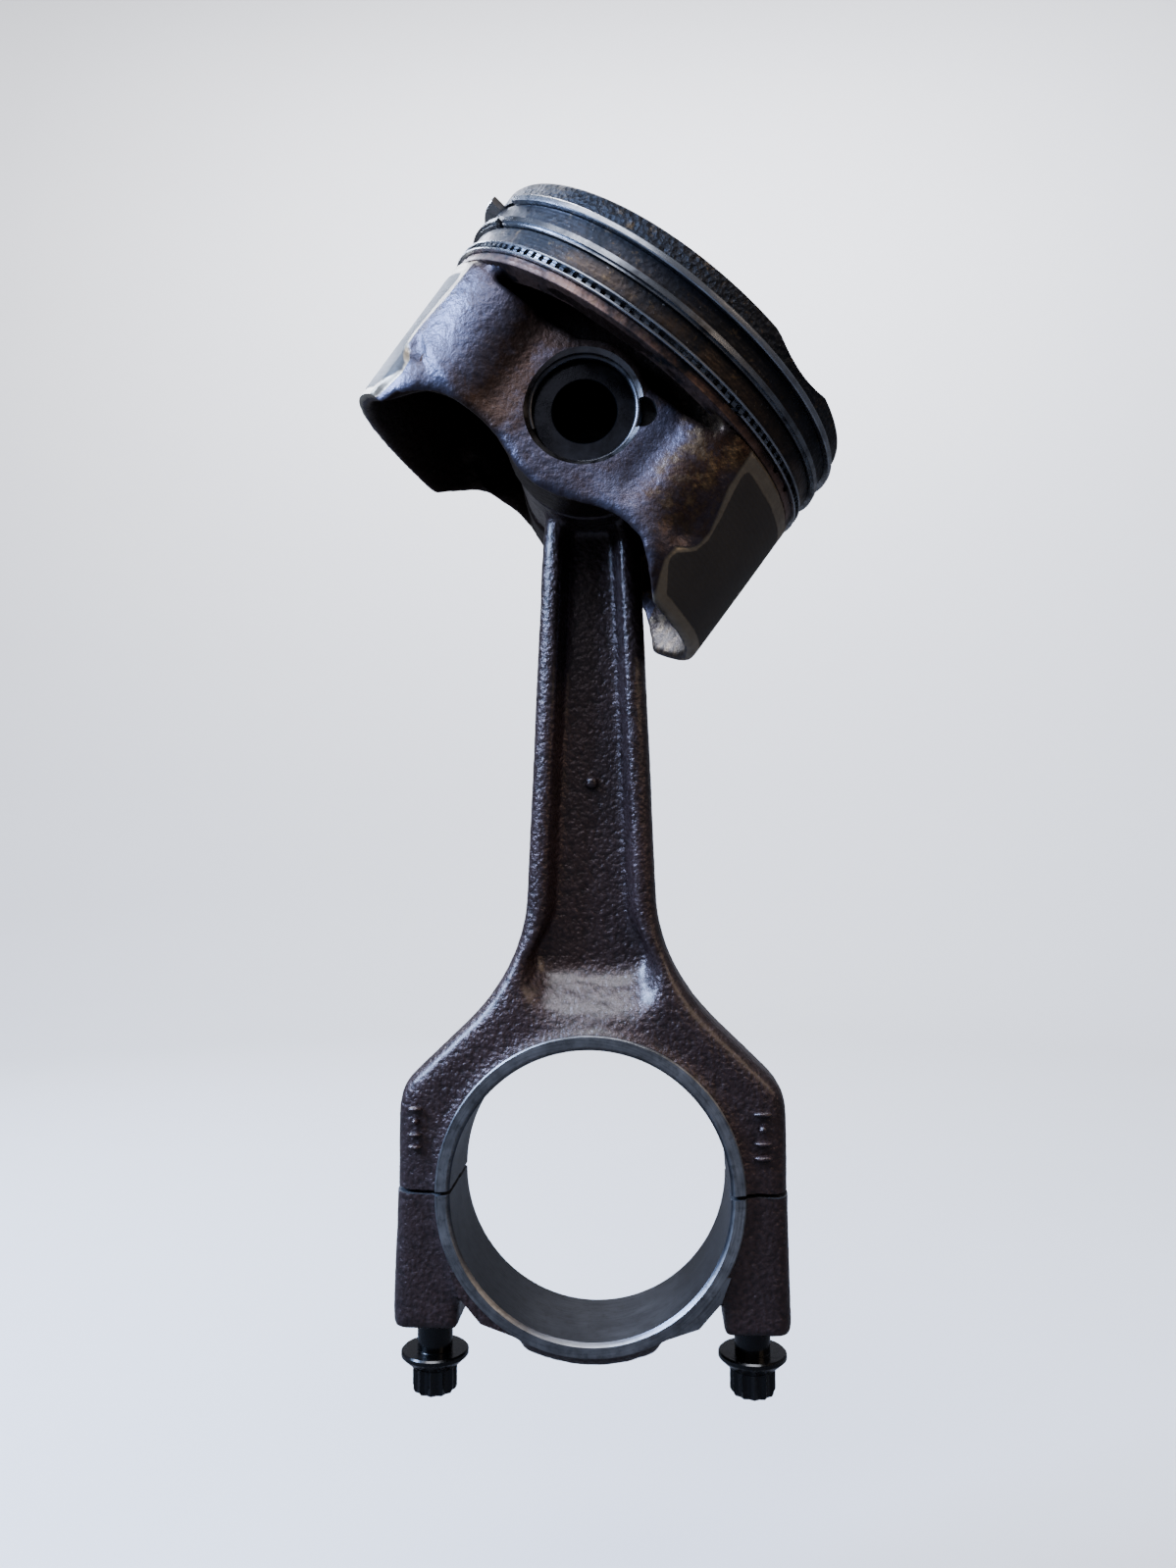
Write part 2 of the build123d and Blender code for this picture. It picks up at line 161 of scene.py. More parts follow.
class PistonSettings(bpy.types.PropertyGroup):
    mesh_size: length("Casting mesh", "Edge length of the cast skin's mesh", 0.72)
    pebble: length("Pebble", "Height of the cast skin's pebbling", 0.06)
    pebble_size: length("Pebble size", "Distance between pebbles", 1.3)
    skirt_radius: length("Skirt", "Radius of the turned skirts", 42.0)
    land_radius: length("Lands", "Radius of the ring lands", 41.5)
    root_radius: length("Groove root", "Radius at the bottom of the ring grooves", 37.9)
    crown_height: length("Crown", "From the pin axis up to the crown", 28.9)
    belt_height: length("Belt", "From the pin axis up to the ring belt", 11.3)
    pin_bore: length("Pin bore", "Radius of the wrist-pin bore", 10.0)
    boss_face: length("Boss face", "From the mid-plane to the outer face of a pin boss", 29.6)
    notch_radius: length("Notch", "Radius of the notch for prising a clip out", 2.8)
    cast: colour("Cast skin", "Bare cast aluminium", "#575563")
    # the oil colour on the casting; where the stored amount is high it is also laid on as painted shade
    varnish: colour("Varnish", "Baked oil on the casting", "#3a2a22")
    coating: colour("Skirt print", "Graphite print on the skirts", "#35322e")
    carbon: colour("Carbon", "Burnt carbon on the top land and crown", "#15161a")


class RingSettings(bpy.types.PropertyGroup):
    spring: length("Sprung end", "How far one end of the top ring stands out", 1.4)
    teeth: bpy.props.IntProperty(name="Expander folds", description="Folds round the oil-ring expander",
                                 default=126, min=40)
    steel: colour("Ring steel", "Lapped ring steel", "#bcc0c6")
    iron: colour("Ring iron", "Lapped grey iron", "#9a9ea4")


class StageSettings(bpy.types.PropertyGroup):
    floor: colour("Floor", "Pale matt floor", "#e4e4e4")
    key: power("Key light", "Power of the window light", 25.0)
    wash: power("Backdrop light", "Power of the light on the backdrop", 62.0)
    fill: power("Fill light", "Power of the warm fill", 1.5)


# ---- node and mesh tools --------------------------------------------------------------------------
def add(tree, kind, sockets=None, output=0, **settings):
    """Add a node with its settings, give each socket a value or a link, and return one of its outputs."""
    node = tree.nodes.new(kind)
    for key, value in settings.items():
        setattr(node, key, value)
    for key, value in (sockets or {}).items():
        if isinstance(value, bpy.types.NodeSocket):
            tree.links.new(value, node.inputs[key])
        else:
            node.inputs[key].default_value = value
    return node.outputs[output] if len(node.outputs) else None


def per_metre(millimetres):
    """A texture's scale, from the real size of its pattern."""
    return 1 / (millimetres * MM)


def shaded(tint, share):
    """The same colour, darker or lighter."""
    return [value * share for value in tint[:3]] + [1.0]


def start_material(name):
    """An empty material, its node tree and the object coordinates."""
    material = bpy.data.materials.new(name)
    material.use_nodes = True
    tree = material.node_tree
    tree.nodes.clear()
    return material, tree, add(tree, "ShaderNodeTexCoord", output="Object")


def surfaced(material, sockets):
    """Give a material its surface shader, with these sockets set or linked."""
    shader = add(material.node_tree, "ShaderNodeBsdfPrincipled", sockets)
    add(material.node_tree, "ShaderNodeOutputMaterial", {"Surface": shader})
    return material


def layered(tree, base, *layers):
    """Lay colours over a base: each comes in as its value goes from low to high, up to its most."""
    for value, low, high, most, shade in layers:
        share = add(tree, "ShaderNodeMapRange", {0: value, 1: low, 2: high, 4: most})
        base = add(tree, "ShaderNodeMix", {0: share, 6: base, 7: shade}, 2, data_type="RGBA")
    return base


def piston_place(tree, place):
    """Object coordinates turned into the piston's own frame, with the pin axis at its origin."""
    sockets = {"Vector": place, "Location": ROW_TO_PISTON.translation, "Rotation": ROW_TO_PISTON.to_euler()}
    return add(tree, "ShaderNodeMapping", sockets, vector_type="POINT")


def new_object(name, mesh):
    thing = bpy.data.objects.new(name, mesh)
    bpy.context.scene.collection.objects.link(thing)
    return thing


def from_faces(name, points, faces, material=None):
    """A closed solid from corners and faces, with its faces outwards."""
    mesh = bpy.data.meshes.new(name)
    mesh.from_pydata([tuple(p) for p in points], [], faces)
    form = bmesh.new()
    form.from_mesh(mesh)
    bmesh.ops.remove_doubles(form, verts=form.verts, dist=TINY)
    bmesh.ops.recalc_face_normals(form, faces=form.faces)
    form.to_mesh(mesh)
    form.free()
    if material:
        mesh.materials.append(material)
    return new_object(name, mesh)


def lathe(name, outline, segments, material=None, start=0.0, sweep=2 * pi, swell=None):
    """Turn a closed (radius, height) outline about Z; swell moves the section outwards along the sweep."""
    whole = abs(sweep - 2 * pi) < TINY
    stations = segments if whole else segments + 1
    size = len(outline)
    points = []
    for i in range(stations):
        angle = start + sweep * i / segments
        out = swell(i / segments) if swell else 0.0
        points += [((r + out) * cos(angle), (r + out) * sin(angle), z) for r, z in outline]
    faces = []
    for i in range(segments):
        here, there = i * size, ((i + 1) % stations) * size
        for j in range(size):
            k = (j + 1) % size
            if outline[j][0] > TINY or outline[k][0] > TINY:
                faces.append((here + j, here + k, there + k, there + j))
    if not whole:
        faces.append(tuple(range(size)))
        faces.append(tuple((stations - 1) * size + j for j in range(size)))
    return from_faces(name, points, faces, material)


def prism(name, outline, low, high, material=None):
    """An (x, z) outline carried along Y from low to high."""
    size = len(outline)
    points = [(x, low, z) for x, z in outline] + [(x, high, z) for x, z in outline]
    faces = [tuple(range(size)), tuple(range(size, 2 * size))]
    faces += [(j, (j + 1) % size, size + (j + 1) % size, size + j) for j in range(size)]
    return from_faces(name, points, faces, material)


def moved(thing, matrix):
    thing.data.transform(matrix)
    return thing


def settle(thing):
    """Turn the object's live modifiers into its plain mesh."""
    plain = bpy.data.meshes.new_from_object(thing.evaluated_get(bpy.context.evaluated_depsgraph_get()))
    thing.modifiers.clear()
    old = thing.data
    thing.data = plain
    bpy.data.meshes.remove(old)
    return thing


def combine(thing, tool, operation):
    """Join, cut or trim a solid with a tool, which is used up; cut faces take the tool's material."""
    step = thing.modifiers.new(operation, "BOOLEAN")
    step.operation = operation
    step.solver = "MANIFOLD"
    step.object = tool
    step.material_mode = "TRANSFER"
    before = len(thing.data.polygons)
    settle(thing)
    bpy.data.objects.remove(tool)
    if len(thing.data.polygons) == 0 and before:
        raise RuntimeError(f"{thing.name}: {operation} left nothing")
    return thing


def joined(name, things):
    """Several meshes on one body made one."""
    with bpy.context.temp_override(active_object=things[0], selected_editable_objects=things):
        bpy.ops.object.join()
    things[0].name = name
    return things[0]


def copy_of(node):
    """A merged copy of a frame node's mesh."""
    mesh = NODES[node].data.copy()
    mesh.materials.clear()
    form = bmesh.new()
    form.from_mesh(mesh)
    bmesh.ops.remove_doubles(form, verts=form.verts, dist=1e-6)
    form.to_mesh(mesh)
    form.free()
    return new_object(node + "_blank", mesh)


def corners(thing):
    places = np.zeros(len(thing.data.vertices) * 3)
    thing.data.vertices.foreach_get("co", places)
    return places.reshape(-1, 3)


def put_corners(thing, places):
    thing.data.vertices.foreach_set("co", places.ravel())
    thing.data.update()


def reskin(thing, size):
    """Rebuild overlapping solids as one even skin."""
    step = thing.modifiers.new("skin", "REMESH")
    step.mode = "VOXEL"
    step.voxel_size = size
    return settle(thing)


def relax(thing, passes, weight=1.0):
    """Round the edges by letting each corner drift to the middle of its neighbours."""
    places = corners(thing)
    ends = np.zeros(len(thing.data.edges) * 2, int)
    thing.data.edges.foreach_get("vertices", ends)
    first, second = ends.reshape(-1, 2).T
    count = np.bincount(first, minlength=len(places)) + np.bincount(second, minlength=len(places))
    strength = 0.5 * np.broadcast_to(weight, len(places))
    for _ in range(passes):
        for axis in range(3):
            line = places[:, axis]
            total = np.bincount(first, line[second], len(line)) + np.bincount(second, line[first], len(line))
            places[:, axis] = line + strength * (total / count - line)
    put_corners(thing, places)
    return thing


def outward(thing):
    normals = np.zeros(len(thing.data.vertices) * 3)
    thing.data.vertices.foreach_get("normal", normals)
    return normals.reshape(-1, 3)


def ripple(places, size, seed):
    """Smooth noise with features of a given size, one value for each place."""
    offset = Vector((seed * 7.1, seed * 3.3, seed * 5.7))
    return np.array([noise.noise(Vector(p) / size + offset) for p in places])


def step(value, low, high):
    """0 below low, 1 above high, and smooth between."""
    t = np.clip((value - low) / (high - low), 0, 1)
    return t * t * (3 - 2 * t)


def hump(value, middle, half):
    return np.exp(-((value - middle) / half) ** 2)


def finish(thing, body, slot, *replaced, sharp=38):
    """Shade a piece, keep its edges crisp, and give it to its body."""
    thing.data.shade_smooth()
    thing.data.set_sharp_from_angle(angle=radians(sharp))
    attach(thing, body)
    if replaced:
        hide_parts(*replaced)
    return thing


# ---- repeated shapes ------------------------------------------------------------------------------
def start_tree(name, inputs):
    """An empty geometry tree, and the sockets of its named inputs."""
    tree = bpy.data.node_groups.new(name, "GeometryNodeTree")
    for title, kind in inputs.items():
        tree.interface.new_socket(title, in_out="INPUT", socket_type="NodeSocket" + kind)
    tree.interface.new_socket("Geometry", in_out="OUTPUT", socket_type="NodeSocketGeometry")
    return tree, add(tree, "NodeGroupInput").node.outputs


def end_tree(tree, shape, material):
    """Make any copies real, give the result its material and put it out."""
    real = add(tree, "GeometryNodeRealizeInstances", {"Geometry": shape})
    painted = add(tree, "GeometryNodeSetMaterial", {"Geometry": real, "Material": material})
    add(tree, "NodeGroupOutput", {"Geometry": painted})
    return tree


def circle_of_copies_tree():
    """Copies of the object's own mesh, spaced round part of a circle and turned to face outwards."""
    tree, given = start_tree("circle_of_copies", {"Shape": "Geometry", "Count": "Int", "Radius": "Float",
                                                  "First angle": "Float", "Sweep": "Float",
                                                  "Material": "Material"})
    index = add(tree, "GeometryNodeInputIndex")
    share = add(tree, "ShaderNodeMath", {0: index, 1: given["Count"]}, operation="DIVIDE")
    turned = add(tree, "ShaderNodeMath", {0: share, 1: given["Sweep"]}, operation="MULTIPLY")
    angle = add(tree, "ShaderNodeMath", {0: turned, 1: given["First angle"]}, operation="ADD")
    reach = {}
    for axis, operation in (("X", "COSINE"), ("Y", "SINE")):
        unit = add(tree, "ShaderNodeMath", {0: angle}, operation=operation)
        reach[axis] = add(tree, "ShaderNodeMath", {0: unit, 1: given["Radius"]}, operation="MULTIPLY")
    position = add(tree, "ShaderNodeCombineXYZ", reach)
    points = add(tree, "GeometryNodePoints", {"Count": given["Count"], "Position": position})
    facing = add(tree, "ShaderNodeCombineXYZ", {"Z": angle})
    copies = add(tree, "GeometryNodeInstanceOnPoints",
                 {"Points": points, "Instance": given["Shape"], "Rotation": facing})
    return end_tree(tree, copies, given["Material"])


def thread_tree():
    """A helical thread in place of the object's own mesh: a four-sided ridge swept up a spiral."""
    tree, given = start_tree("thread", {"Replaced": "Geometry", "Radius": "Float", "Depth": "Float",
                                        "Pitch": "Float", "Length": "Float", "Material": "Material"})
    turns = add(tree, "ShaderNodeMath", {0: given["Length"], 1: given["Pitch"]}, operation="DIVIDE")
    middle = add(tree, "ShaderNodeMath", {0: given["Radius"], 1: given["Depth"]}, operation="SUBTRACT")
    spiral = add(tree, "GeometryNodeCurveSpiral",
                 {"Resolution": 32, "Rotations": turns, "Start Radius": middle, "End Radius": middle,
                  "Height": given["Length"]})
    upright = add(tree, "GeometryNodeSetCurveNormal", {"Curve": spiral}, mode="Z_UP")
    ridge = add(tree, "GeometryNodeCurvePrimitiveCircle", {"Resolution": 4, "Radius": given["Depth"]})
    swept = add(tree, "GeometryNodeCurveToMesh",
                {"Curve": upright, "Profile Curve": ridge, "Fill Caps": True})
    return end_tree(tree, swept, given["Material"])


def grown(thing, build_tree, inputs):
    """Run a node tree on an object and keep the result as its plain mesh."""
    tree = bpy.data.node_groups.get(build_tree.__name__[:-len("_tree")]) or build_tree()
    growth = thing.modifiers.new("growth", "NODES")
    growth.node_group = tree
    for item in tree.interface.items_tree:
        if item.in_out == "INPUT" and item.name in inputs:
            growth[item.identifier] = inputs[item.name]
    return settle(thing)


# ---- materials ------------------------------------------------------------------------------------
def shot_blasted_forging(stain):
    """Hot-forged steel, shot blasted and oil-soaked: dark brown, with a thin gloss on each pebble."""
    material, tree, place = start_material("shot_blasted_forged_steel")
    patches = add(tree, "ShaderNodeTexNoise",
                  {"Vector": place, "Scale": per_metre(11.0), "Detail": 4.0, "Roughness": 0.6})
    lumps = add(tree, "ShaderNodeTexNoise", {"Vector": place, "Scale": per_metre(0.9)})
    cells = add(tree, "ShaderNodeTexVoronoi",
                {"Vector": place, "Scale": per_metre(0.95), "Smoothness": 0.8}, feature="SMOOTH_F1")
    hollows = add(tree, "ShaderNodeMath", {0: cells, 1: 0.45}, operation="MULTIPLY")
    pebbles = add(tree, "ShaderNodeMath", {0: lumps, 1: hollows}, operation="SUBTRACT")
    grit = add(tree, "ShaderNodeTexNoise", {"Vector": place, "Scale": per_metre(0.4), "Roughness": 0.6})
    # darker between the pebbles, where grease lies and painted shade is laid in, and the pebble tops a little
    # brighter, partly rubbed wear and partly a painted highlight
    colour = layered(tree, shaded(stain, 0.6), (patches, 0.35, 0.68, 1.0, stain),
                     (pebbles, 0.26, 0.12, 0.45, linear("#0d0a0b")),
                     (pebbles, 0.32, 0.5, 0.12, linear("#6d6063")))
    film = add(tree, "ShaderNodeTexNoise", {"Vector": place, "Scale": per_metre(2.3), "Detail": 3.0})
    gloss = add(tree, "ShaderNodeMapRange", {0: film, 1: 0.3, 2: 0.7, 3: 0.30, 4: 0.46})
    coarse = add(tree, "ShaderNodeBump", {"Height": pebbles, "Distance": 0.36 * MM})
    fine = add(tree, "ShaderNodeBump", {"Height": grit, "Distance": 0.06 * MM, "Normal": coarse})
    return surfaced(material, {"Base Color": colour, "Metallic": 0.5, "Roughness": gloss, "Normal": fine,
                               "Coat Weight": 0.5, "Coat Roughness": 0.24})


def ground_steel(tint):
    """Ground and honed steel: grey satin with fine marks running round the bore."""
    material, tree, place = start_material("ground_steel_face")
    flat = add(tree, "ShaderNodeVectorMath", {0: place, 1: (1.0, 0.0, 1.0)}, operation="MULTIPLY")
    radius = add(tree, "ShaderNodeVectorMath", {0: flat}, "Value", operation="LENGTH")
    depth = add(tree, "ShaderNodeSeparateXYZ", {0: place}, "Y")
    band = add(tree, "ShaderNodeCombineXYZ", {"X": radius, "Y": depth})
    # the marks fade in and out on their way round
    drift = add(tree, "ShaderNodeVectorMath", {0: place, 1: (0.05, 0.05, 0.05)}, operation="MULTIPLY")
    along = add(tree, "ShaderNodeVectorMath", {0: band, 1: drift}, operation="ADD")
    marks = add(tree, "ShaderNodeTexNoise",
                {"Vector": along, "Scale": per_metre(0.3), "Detail": 4.0, "Roughness": 0.7})
    stain = add(tree, "ShaderNodeTexNoise",
                {"Vector": place, "Scale": per_metre(7.0), "Detail": 4.0, "Roughness": 0.6})
    scuffs = add(tree, "ShaderNodeTexNoise",
                 {"Vector": place, "Scale": per_metre(1.6), "Detail": 4.0, "Roughness": 0.7})
    # the bore is duller and darker: the darker colour is partly its honed finish and partly painted shade
    # inside the bore; it is told from the thrust faces by its depth as well as its radius
    height = add(tree, "ShaderNodeMath", {0: depth}, operation="ABSOLUTE")
    between = add(tree, "ShaderNodeMapRange", {0: height, 1: 10.9 * MM, 2: 10.5 * MM})
    within = add(tree, "ShaderNodeMapRange", {0: radius, 1: 28.2 * MM, 2: 27.6 * MM, 4: 0.94})
    bore = add(tree, "ShaderNodeMath", {0: between, 1: within}, operation="MULTIPLY")
    colour = layered(tree, shaded(tint, 0.6), (stain, 0.38, 0.66, 1.0, tint),
                     (bore, 0.0, 1.0, 1.0, linear("#585a60")), (scuffs, 0.5, 0.72, 0.5, linear("#3a3836")),
                     (marks, 0.42, 0.7, 0.5, linear("#2e2f34")))
    satin = add(tree, "ShaderNodeMapRange", {0: stain, 1: 0.3, 2: 0.7, 3: 0.38, 4: 0.46})
    honed = add(tree, "ShaderNodeMath", {0: bore, 1: 0.08}, operation="MULTIPLY")
    gloss = add(tree, "ShaderNodeMath", {0: satin, 1: honed}, operation="SUBTRACT")
    scored = add(tree, "ShaderNodeBump", {"Height": marks, "Distance": 0.03 * MM})
    return surfaced(material, {"Base Color": colour, "Metallic": 1.0, "Roughness": gloss, "Normal": scored})


def cracked_steel():
    """The fractured parting face: bright grey crystals."""
    material, tree, place = start_material("fracture_split_steel")
    grain = add(tree, "ShaderNodeTexNoise",
                {"Vector": place, "Scale": per_metre(0.6), "Detail": 4.0, "Roughness": 0.7})
    colour = layered(tree, linear("#2b2b2f"), (grain, 0.0, 1.0, 1.0, linear("#77797e")))
    rough = add(tree, "ShaderNodeBump", {"Height": grain, "Distance": 0.2 * MM})
    return surfaced(material, {"Base Color": colour, "Metallic": 0.9, "Roughness": 0.6, "Normal": rough})


def black_oxide(tint):
    """Black oxide on alloy steel, wet with oil: nearly black with sharp small highlights."""
    material, tree, place = start_material("oiled_black_oxide_steel")
    film = add(tree, "ShaderNodeTexNoise",
               {"Vector": place, "Scale": per_metre(2.6), "Detail": 3.0, "Roughness": 0.6})
    wear = add(tree, "ShaderNodeTexNoise",
               {"Vector": place, "Scale": per_metre(0.8), "Detail": 3.0, "Roughness": 0.7})
    dents = add(tree, "ShaderNodeTexNoise", {"Vector": place, "Scale": per_metre(1.1), "Detail": 3.0})
    colour = layered(tree, shaded(tint, 0.5), (film, 0.0, 1.0, 1.0, tint),
                     (wear, 0.64, 0.76, 0.3, linear("#45464b")))
    gloss = add(tree, "ShaderNodeMapRange", {0: film, 1: 0.3, 2: 0.7, 3: 0.16, 4: 0.4})
    dented = add(tree, "ShaderNodeBump", {"Height": dents, "Distance": 0.05 * MM})
    return surfaced(material, {"Base Color": colour, "Metallic": 0.6, "Roughness": gloss, "Normal": dented,
                               "Coat Weight": 0.5, "Coat Roughness": 0.12})


def stained_casting(settings):
    """Permanent-mould cast aluminium under burnt-on oil, with painted shade and painted highlights mixed into
    the oil, and a screen-printed graphite patch on each skirt.
    """
    material, tree, place = start_material("stained_cast_aluminium")
    local = piston_place(tree, place)
    patches = add(tree, "ShaderNodeTexNoise",
                  {"Vector": place, "Scale": per_metre(10.0), "Detail": 4.0, "Roughness": 0.6})
    pebbles = add(tree, "ShaderNodeTexNoise",
                  {"Vector": place, "Scale": per_metre(1.2), "Detail": 3.0, "Roughness": 0.6})
    smears = add(tree, "ShaderNodeTexNoise",
                 {"Vector": place, "Scale": per_metre(3.2), "Detail": 4.0, "Roughness": 0.65})
    # the stored amount of burnt oil, which carries painted shade and painted highlights too
    oil_and_painted_light_amount = add(tree, "ShaderNodeAttribute", {}, "Fac", attribute_name="varnish")
    oil_and_painted_light_mask = oil_and_painted_light_amount
    for pattern, most in ((patches, 0.25), (smears, 0.2)):
        uneven = add(tree, "ShaderNodeMapRange", {0: pattern, 1: 0.3, 2: 0.7, 3: -most, 4: most})
        oil_and_painted_light_mask = add(tree, "ShaderNodeMath", {0: oil_and_painted_light_mask, 1: uneven}, operation="ADD")
    # burnt oil has a brassy bloom on the thrust side only
    across = add(tree, "ShaderNodeSeparateXYZ", {0: local}, "X")
    thrust_side = add(tree, "ShaderNodeMapRange", {0: across, 1: 8 * MM, 2: 18 * MM})
    under_varnish = add(tree, "ShaderNodeMapRange", {0: oil_and_painted_light_amount, 1: 0.45, 2: 0.8})
    blotches = add(tree, "ShaderNodeMapRange", {0: smears, 1: 0.48, 2: 0.64, 4: 0.75})
    bloom = add(tree, "ShaderNodeMath", {0: thrust_side, 1: under_varnish}, operation="MULTIPLY")
    bloom = add(tree, "ShaderNodeMath", {0: blotches, 1: bloom}, operation="MULTIPLY")
    # the oil colour comes in with the amount; past 0.9 it goes near black, painted shade inside the piston,
    # in the hollow left of the boss and under the ring belt
    cast = layered(tree, settings.cast, (oil_and_painted_light_mask, 0.1, 0.8, 1.0, settings.varnish),
                   (oil_and_painted_light_mask, 0.9, 1.6, 1.0, linear("#2a201a")), (bloom, 0.0, 1.0, 1.0, linear("#7a6850")),
                   # darker in the pebbles' hollows and lighter on their tops: painted shade and painted
                   # highlight on the cast skin
                   (pebbles, 0.46, 0.32, 0.3, linear("#1a1413")),
                   (pebbles, 0.60, 0.78, 0.2, linear("#857c78")))
    # the skirts are turned after casting, and the print stops short of their edges
    bare = layered(tree, linear("#776c5c"), (smears, 0.0, 1.0, 1.0, linear("#ab9f8a")))
    ink = layered(tree, settings.coating, (patches, 0.35, 0.65, 1.0, shaded(settings.coating, 1.35)))
    skirt = add(tree, "ShaderNodeAttribute", {}, "Fac", attribute_name="turned")
    turned = add(tree, "ShaderNodeMapRange", {0: skirt, 1: -0.3, 2: 0.3})
    edge = add(tree, "ShaderNodeAttribute", {}, "Fac", attribute_name="print_edge")
    bleed = add(tree, "ShaderNodeMapRange", {0: smears, 1: 0.3, 2: 0.7, 3: -0.15, 4: 0.15})
    ragged = add(tree, "ShaderNodeMath", {0: edge, 1: bleed}, operation="ADD")
    printed = add(tree, "ShaderNodeMapRange", {0: ragged, 1: -0.2, 2: 0.2})
    colour = layered(tree, cast, (turned, 0.0, 1.0, 1.0, bare), (printed, 0.0, 1.0, 1.0, ink))
    hidden = add(tree, "ShaderNodeMath", {0: printed, 1: 0.75}, operation="MULTIPLY")
    metal = add(tree, "ShaderNodeMath", {0: 0.85, 1: hidden}, operation="SUBTRACT")
    satin = add(tree, "ShaderNodeMapRange", {0: patches, 1: 0.3, 2: 0.7, 3: 0.38, 4: 0.52})
    matt = add(tree, "ShaderNodeMath", {0: printed, 1: 0.2}, operation="MULTIPLY")
    gloss = add(tree, "ShaderNodeMath", {0: satin, 1: matt}, operation="ADD")
    cut_off = add(tree, "ShaderNodeMath", {0: turned, 1: 0.95}, operation="MULTIPLY")
    as_cast = add(tree, "ShaderNodeMath", {0: 1.0, 1: cut_off}, operation="SUBTRACT")
    skin = add(tree, "ShaderNodeMath", {0: pebbles, 1: as_cast}, operation="MULTIPLY")
    coarse = add(tree, "ShaderNodeBump", {"Height": skin, "Distance": 0.24 * MM})
    waves = add(tree, "ShaderNodeTexWave",
                {"Vector": local, "Scale": WAVE * per_metre(1.085), "Distortion": 0.3}, "Fac",
                bands_direction="Z")
    grooves = add(tree, "ShaderNodeMath", {0: waves, 1: turned}, operation="MULTIPLY")
    fine = add(tree, "ShaderNodeBump", {"Height": grooves, "Distance": 0.02 * MM, "Normal": coarse})
    return surfaced(material, {"Base Color": colour, "Metallic": metal, "Roughness": gloss, "Normal": fine})


# belt colours from its bottom (0) to the crown (1): carbon darkens it towards the crown and brown oil stains
# the lower lands; the dark band just under the second ring and the darkening up the second land towards the
# top ring are painted shadow under the rings as well
BELT_BANDS = ((0.0, "#7c6257"), (0.06, "#6b4f42"), (0.13, "#3a2923"), (0.22, "#241d1b"), (0.27, "#42362d"),
              (0.35, "#302824"), (0.41, "#1b1816"), (0.50, "#362d26"), (0.56, "#242429"), (0.72, "#1b1b20"),
              (0.80, "#1c1f26"), (1.0, "#15171d"))


def burnt_belt(settings):
    """Turned aluminium lands and crown: black carbon above, brown burnt oil lower down, scuffed in spots,
    with painted shadow under the rings.
    """
    material, tree, place = start_material("carboned_turned_aluminium")
    local = piston_place(tree, place)
    height = add(tree, "ShaderNodeSeparateXYZ", {0: local}, "Z")
    patches = add(tree, "ShaderNodeTexNoise",
                  {"Vector": local, "Scale": per_metre(7.0), "Detail": 4.0, "Roughness": 0.65})
    fine = add(tree, "ShaderNodeTexNoise",
               {"Vector": local, "Scale": per_metre(0.8), "Detail": 4.0, "Roughness": 0.7})
    spots = add(tree, "ShaderNodeTexNoise",
                {"Vector": local, "Scale": per_metre(1.9), "Detail": 5.0, "Roughness": 0.75})
    uneven = add(tree, "ShaderNodeMapRange", {0: patches, 1: 0.3, 2: 0.7, 3: -0.5 * MM, 4: 0.5 * MM})
    wobble = add(tree, "ShaderNodeMath", {0: height, 1: uneven}, operation="ADD")
    share = add(tree, "ShaderNodeMapRange", {0: wobble, 1: settings.belt_height, 2: settings.crown_height})
    bands = add(tree, "ShaderNodeValToRGB", {0: share})
    ramp = bands.node.color_ramp.elements
    for position, shade in BELT_BANDS[1:-1]:
        ramp.new(position).color = linear(shade)
    ramp[0].color = linear(BELT_BANDS[0][1])
    ramp[-1].color = linear(BELT_BANDS[-1][1])
    colour = layered(tree, bands, (patches, 0.42, 0.66, 1.0, settings.carbon),
                     (spots, 0.58, 0.7, 0.55, linear("#6e5a3c")), (fine, 0.66, 0.74, 0.6, linear("#a7a5a3")))
    gloss = add(tree, "ShaderNodeMapRange", {0: patches, 1: 0.3, 2: 0.7, 3: 0.3, 4: 0.62})
    # carbon is caked thick on the top land and thin below it
    crust = add(tree, "ShaderNodeTexVoronoi", {"Vector": local, "Scale": per_metre(1.1)})
    lumps = add(tree, "ShaderNodeMath", {0: crust, 1: fine}, operation="ADD")
    caked = add(tree, "ShaderNodeMapRange", {0: height, 1: 24.6 * MM, 2: 25.4 * MM})
    thickness = add(tree, "ShaderNodeMath", {0: caked, 1: 0.25}, operation="ADD")
    flakes = add(tree, "ShaderNodeMath", {0: lumps, 1: thickness}, operation="MULTIPLY")
    rough = add(tree, "ShaderNodeBump", {"Height": flakes, "Distance": 0.3 * MM})
    turning = add(tree, "ShaderNodeTexWave",
                  {"Vector": local, "Scale": WAVE * per_metre(0.69), "Distortion": 0.4}, "Fac",
                  bands_direction="Z")
    marked = add(tree, "ShaderNodeBump", {"Height": turning, "Distance": 0.01 * MM, "Normal": rough})
    return surfaced(material, {"Base Color": colour, "Metallic": 0.7, "Roughness": gloss, "Normal": marked})


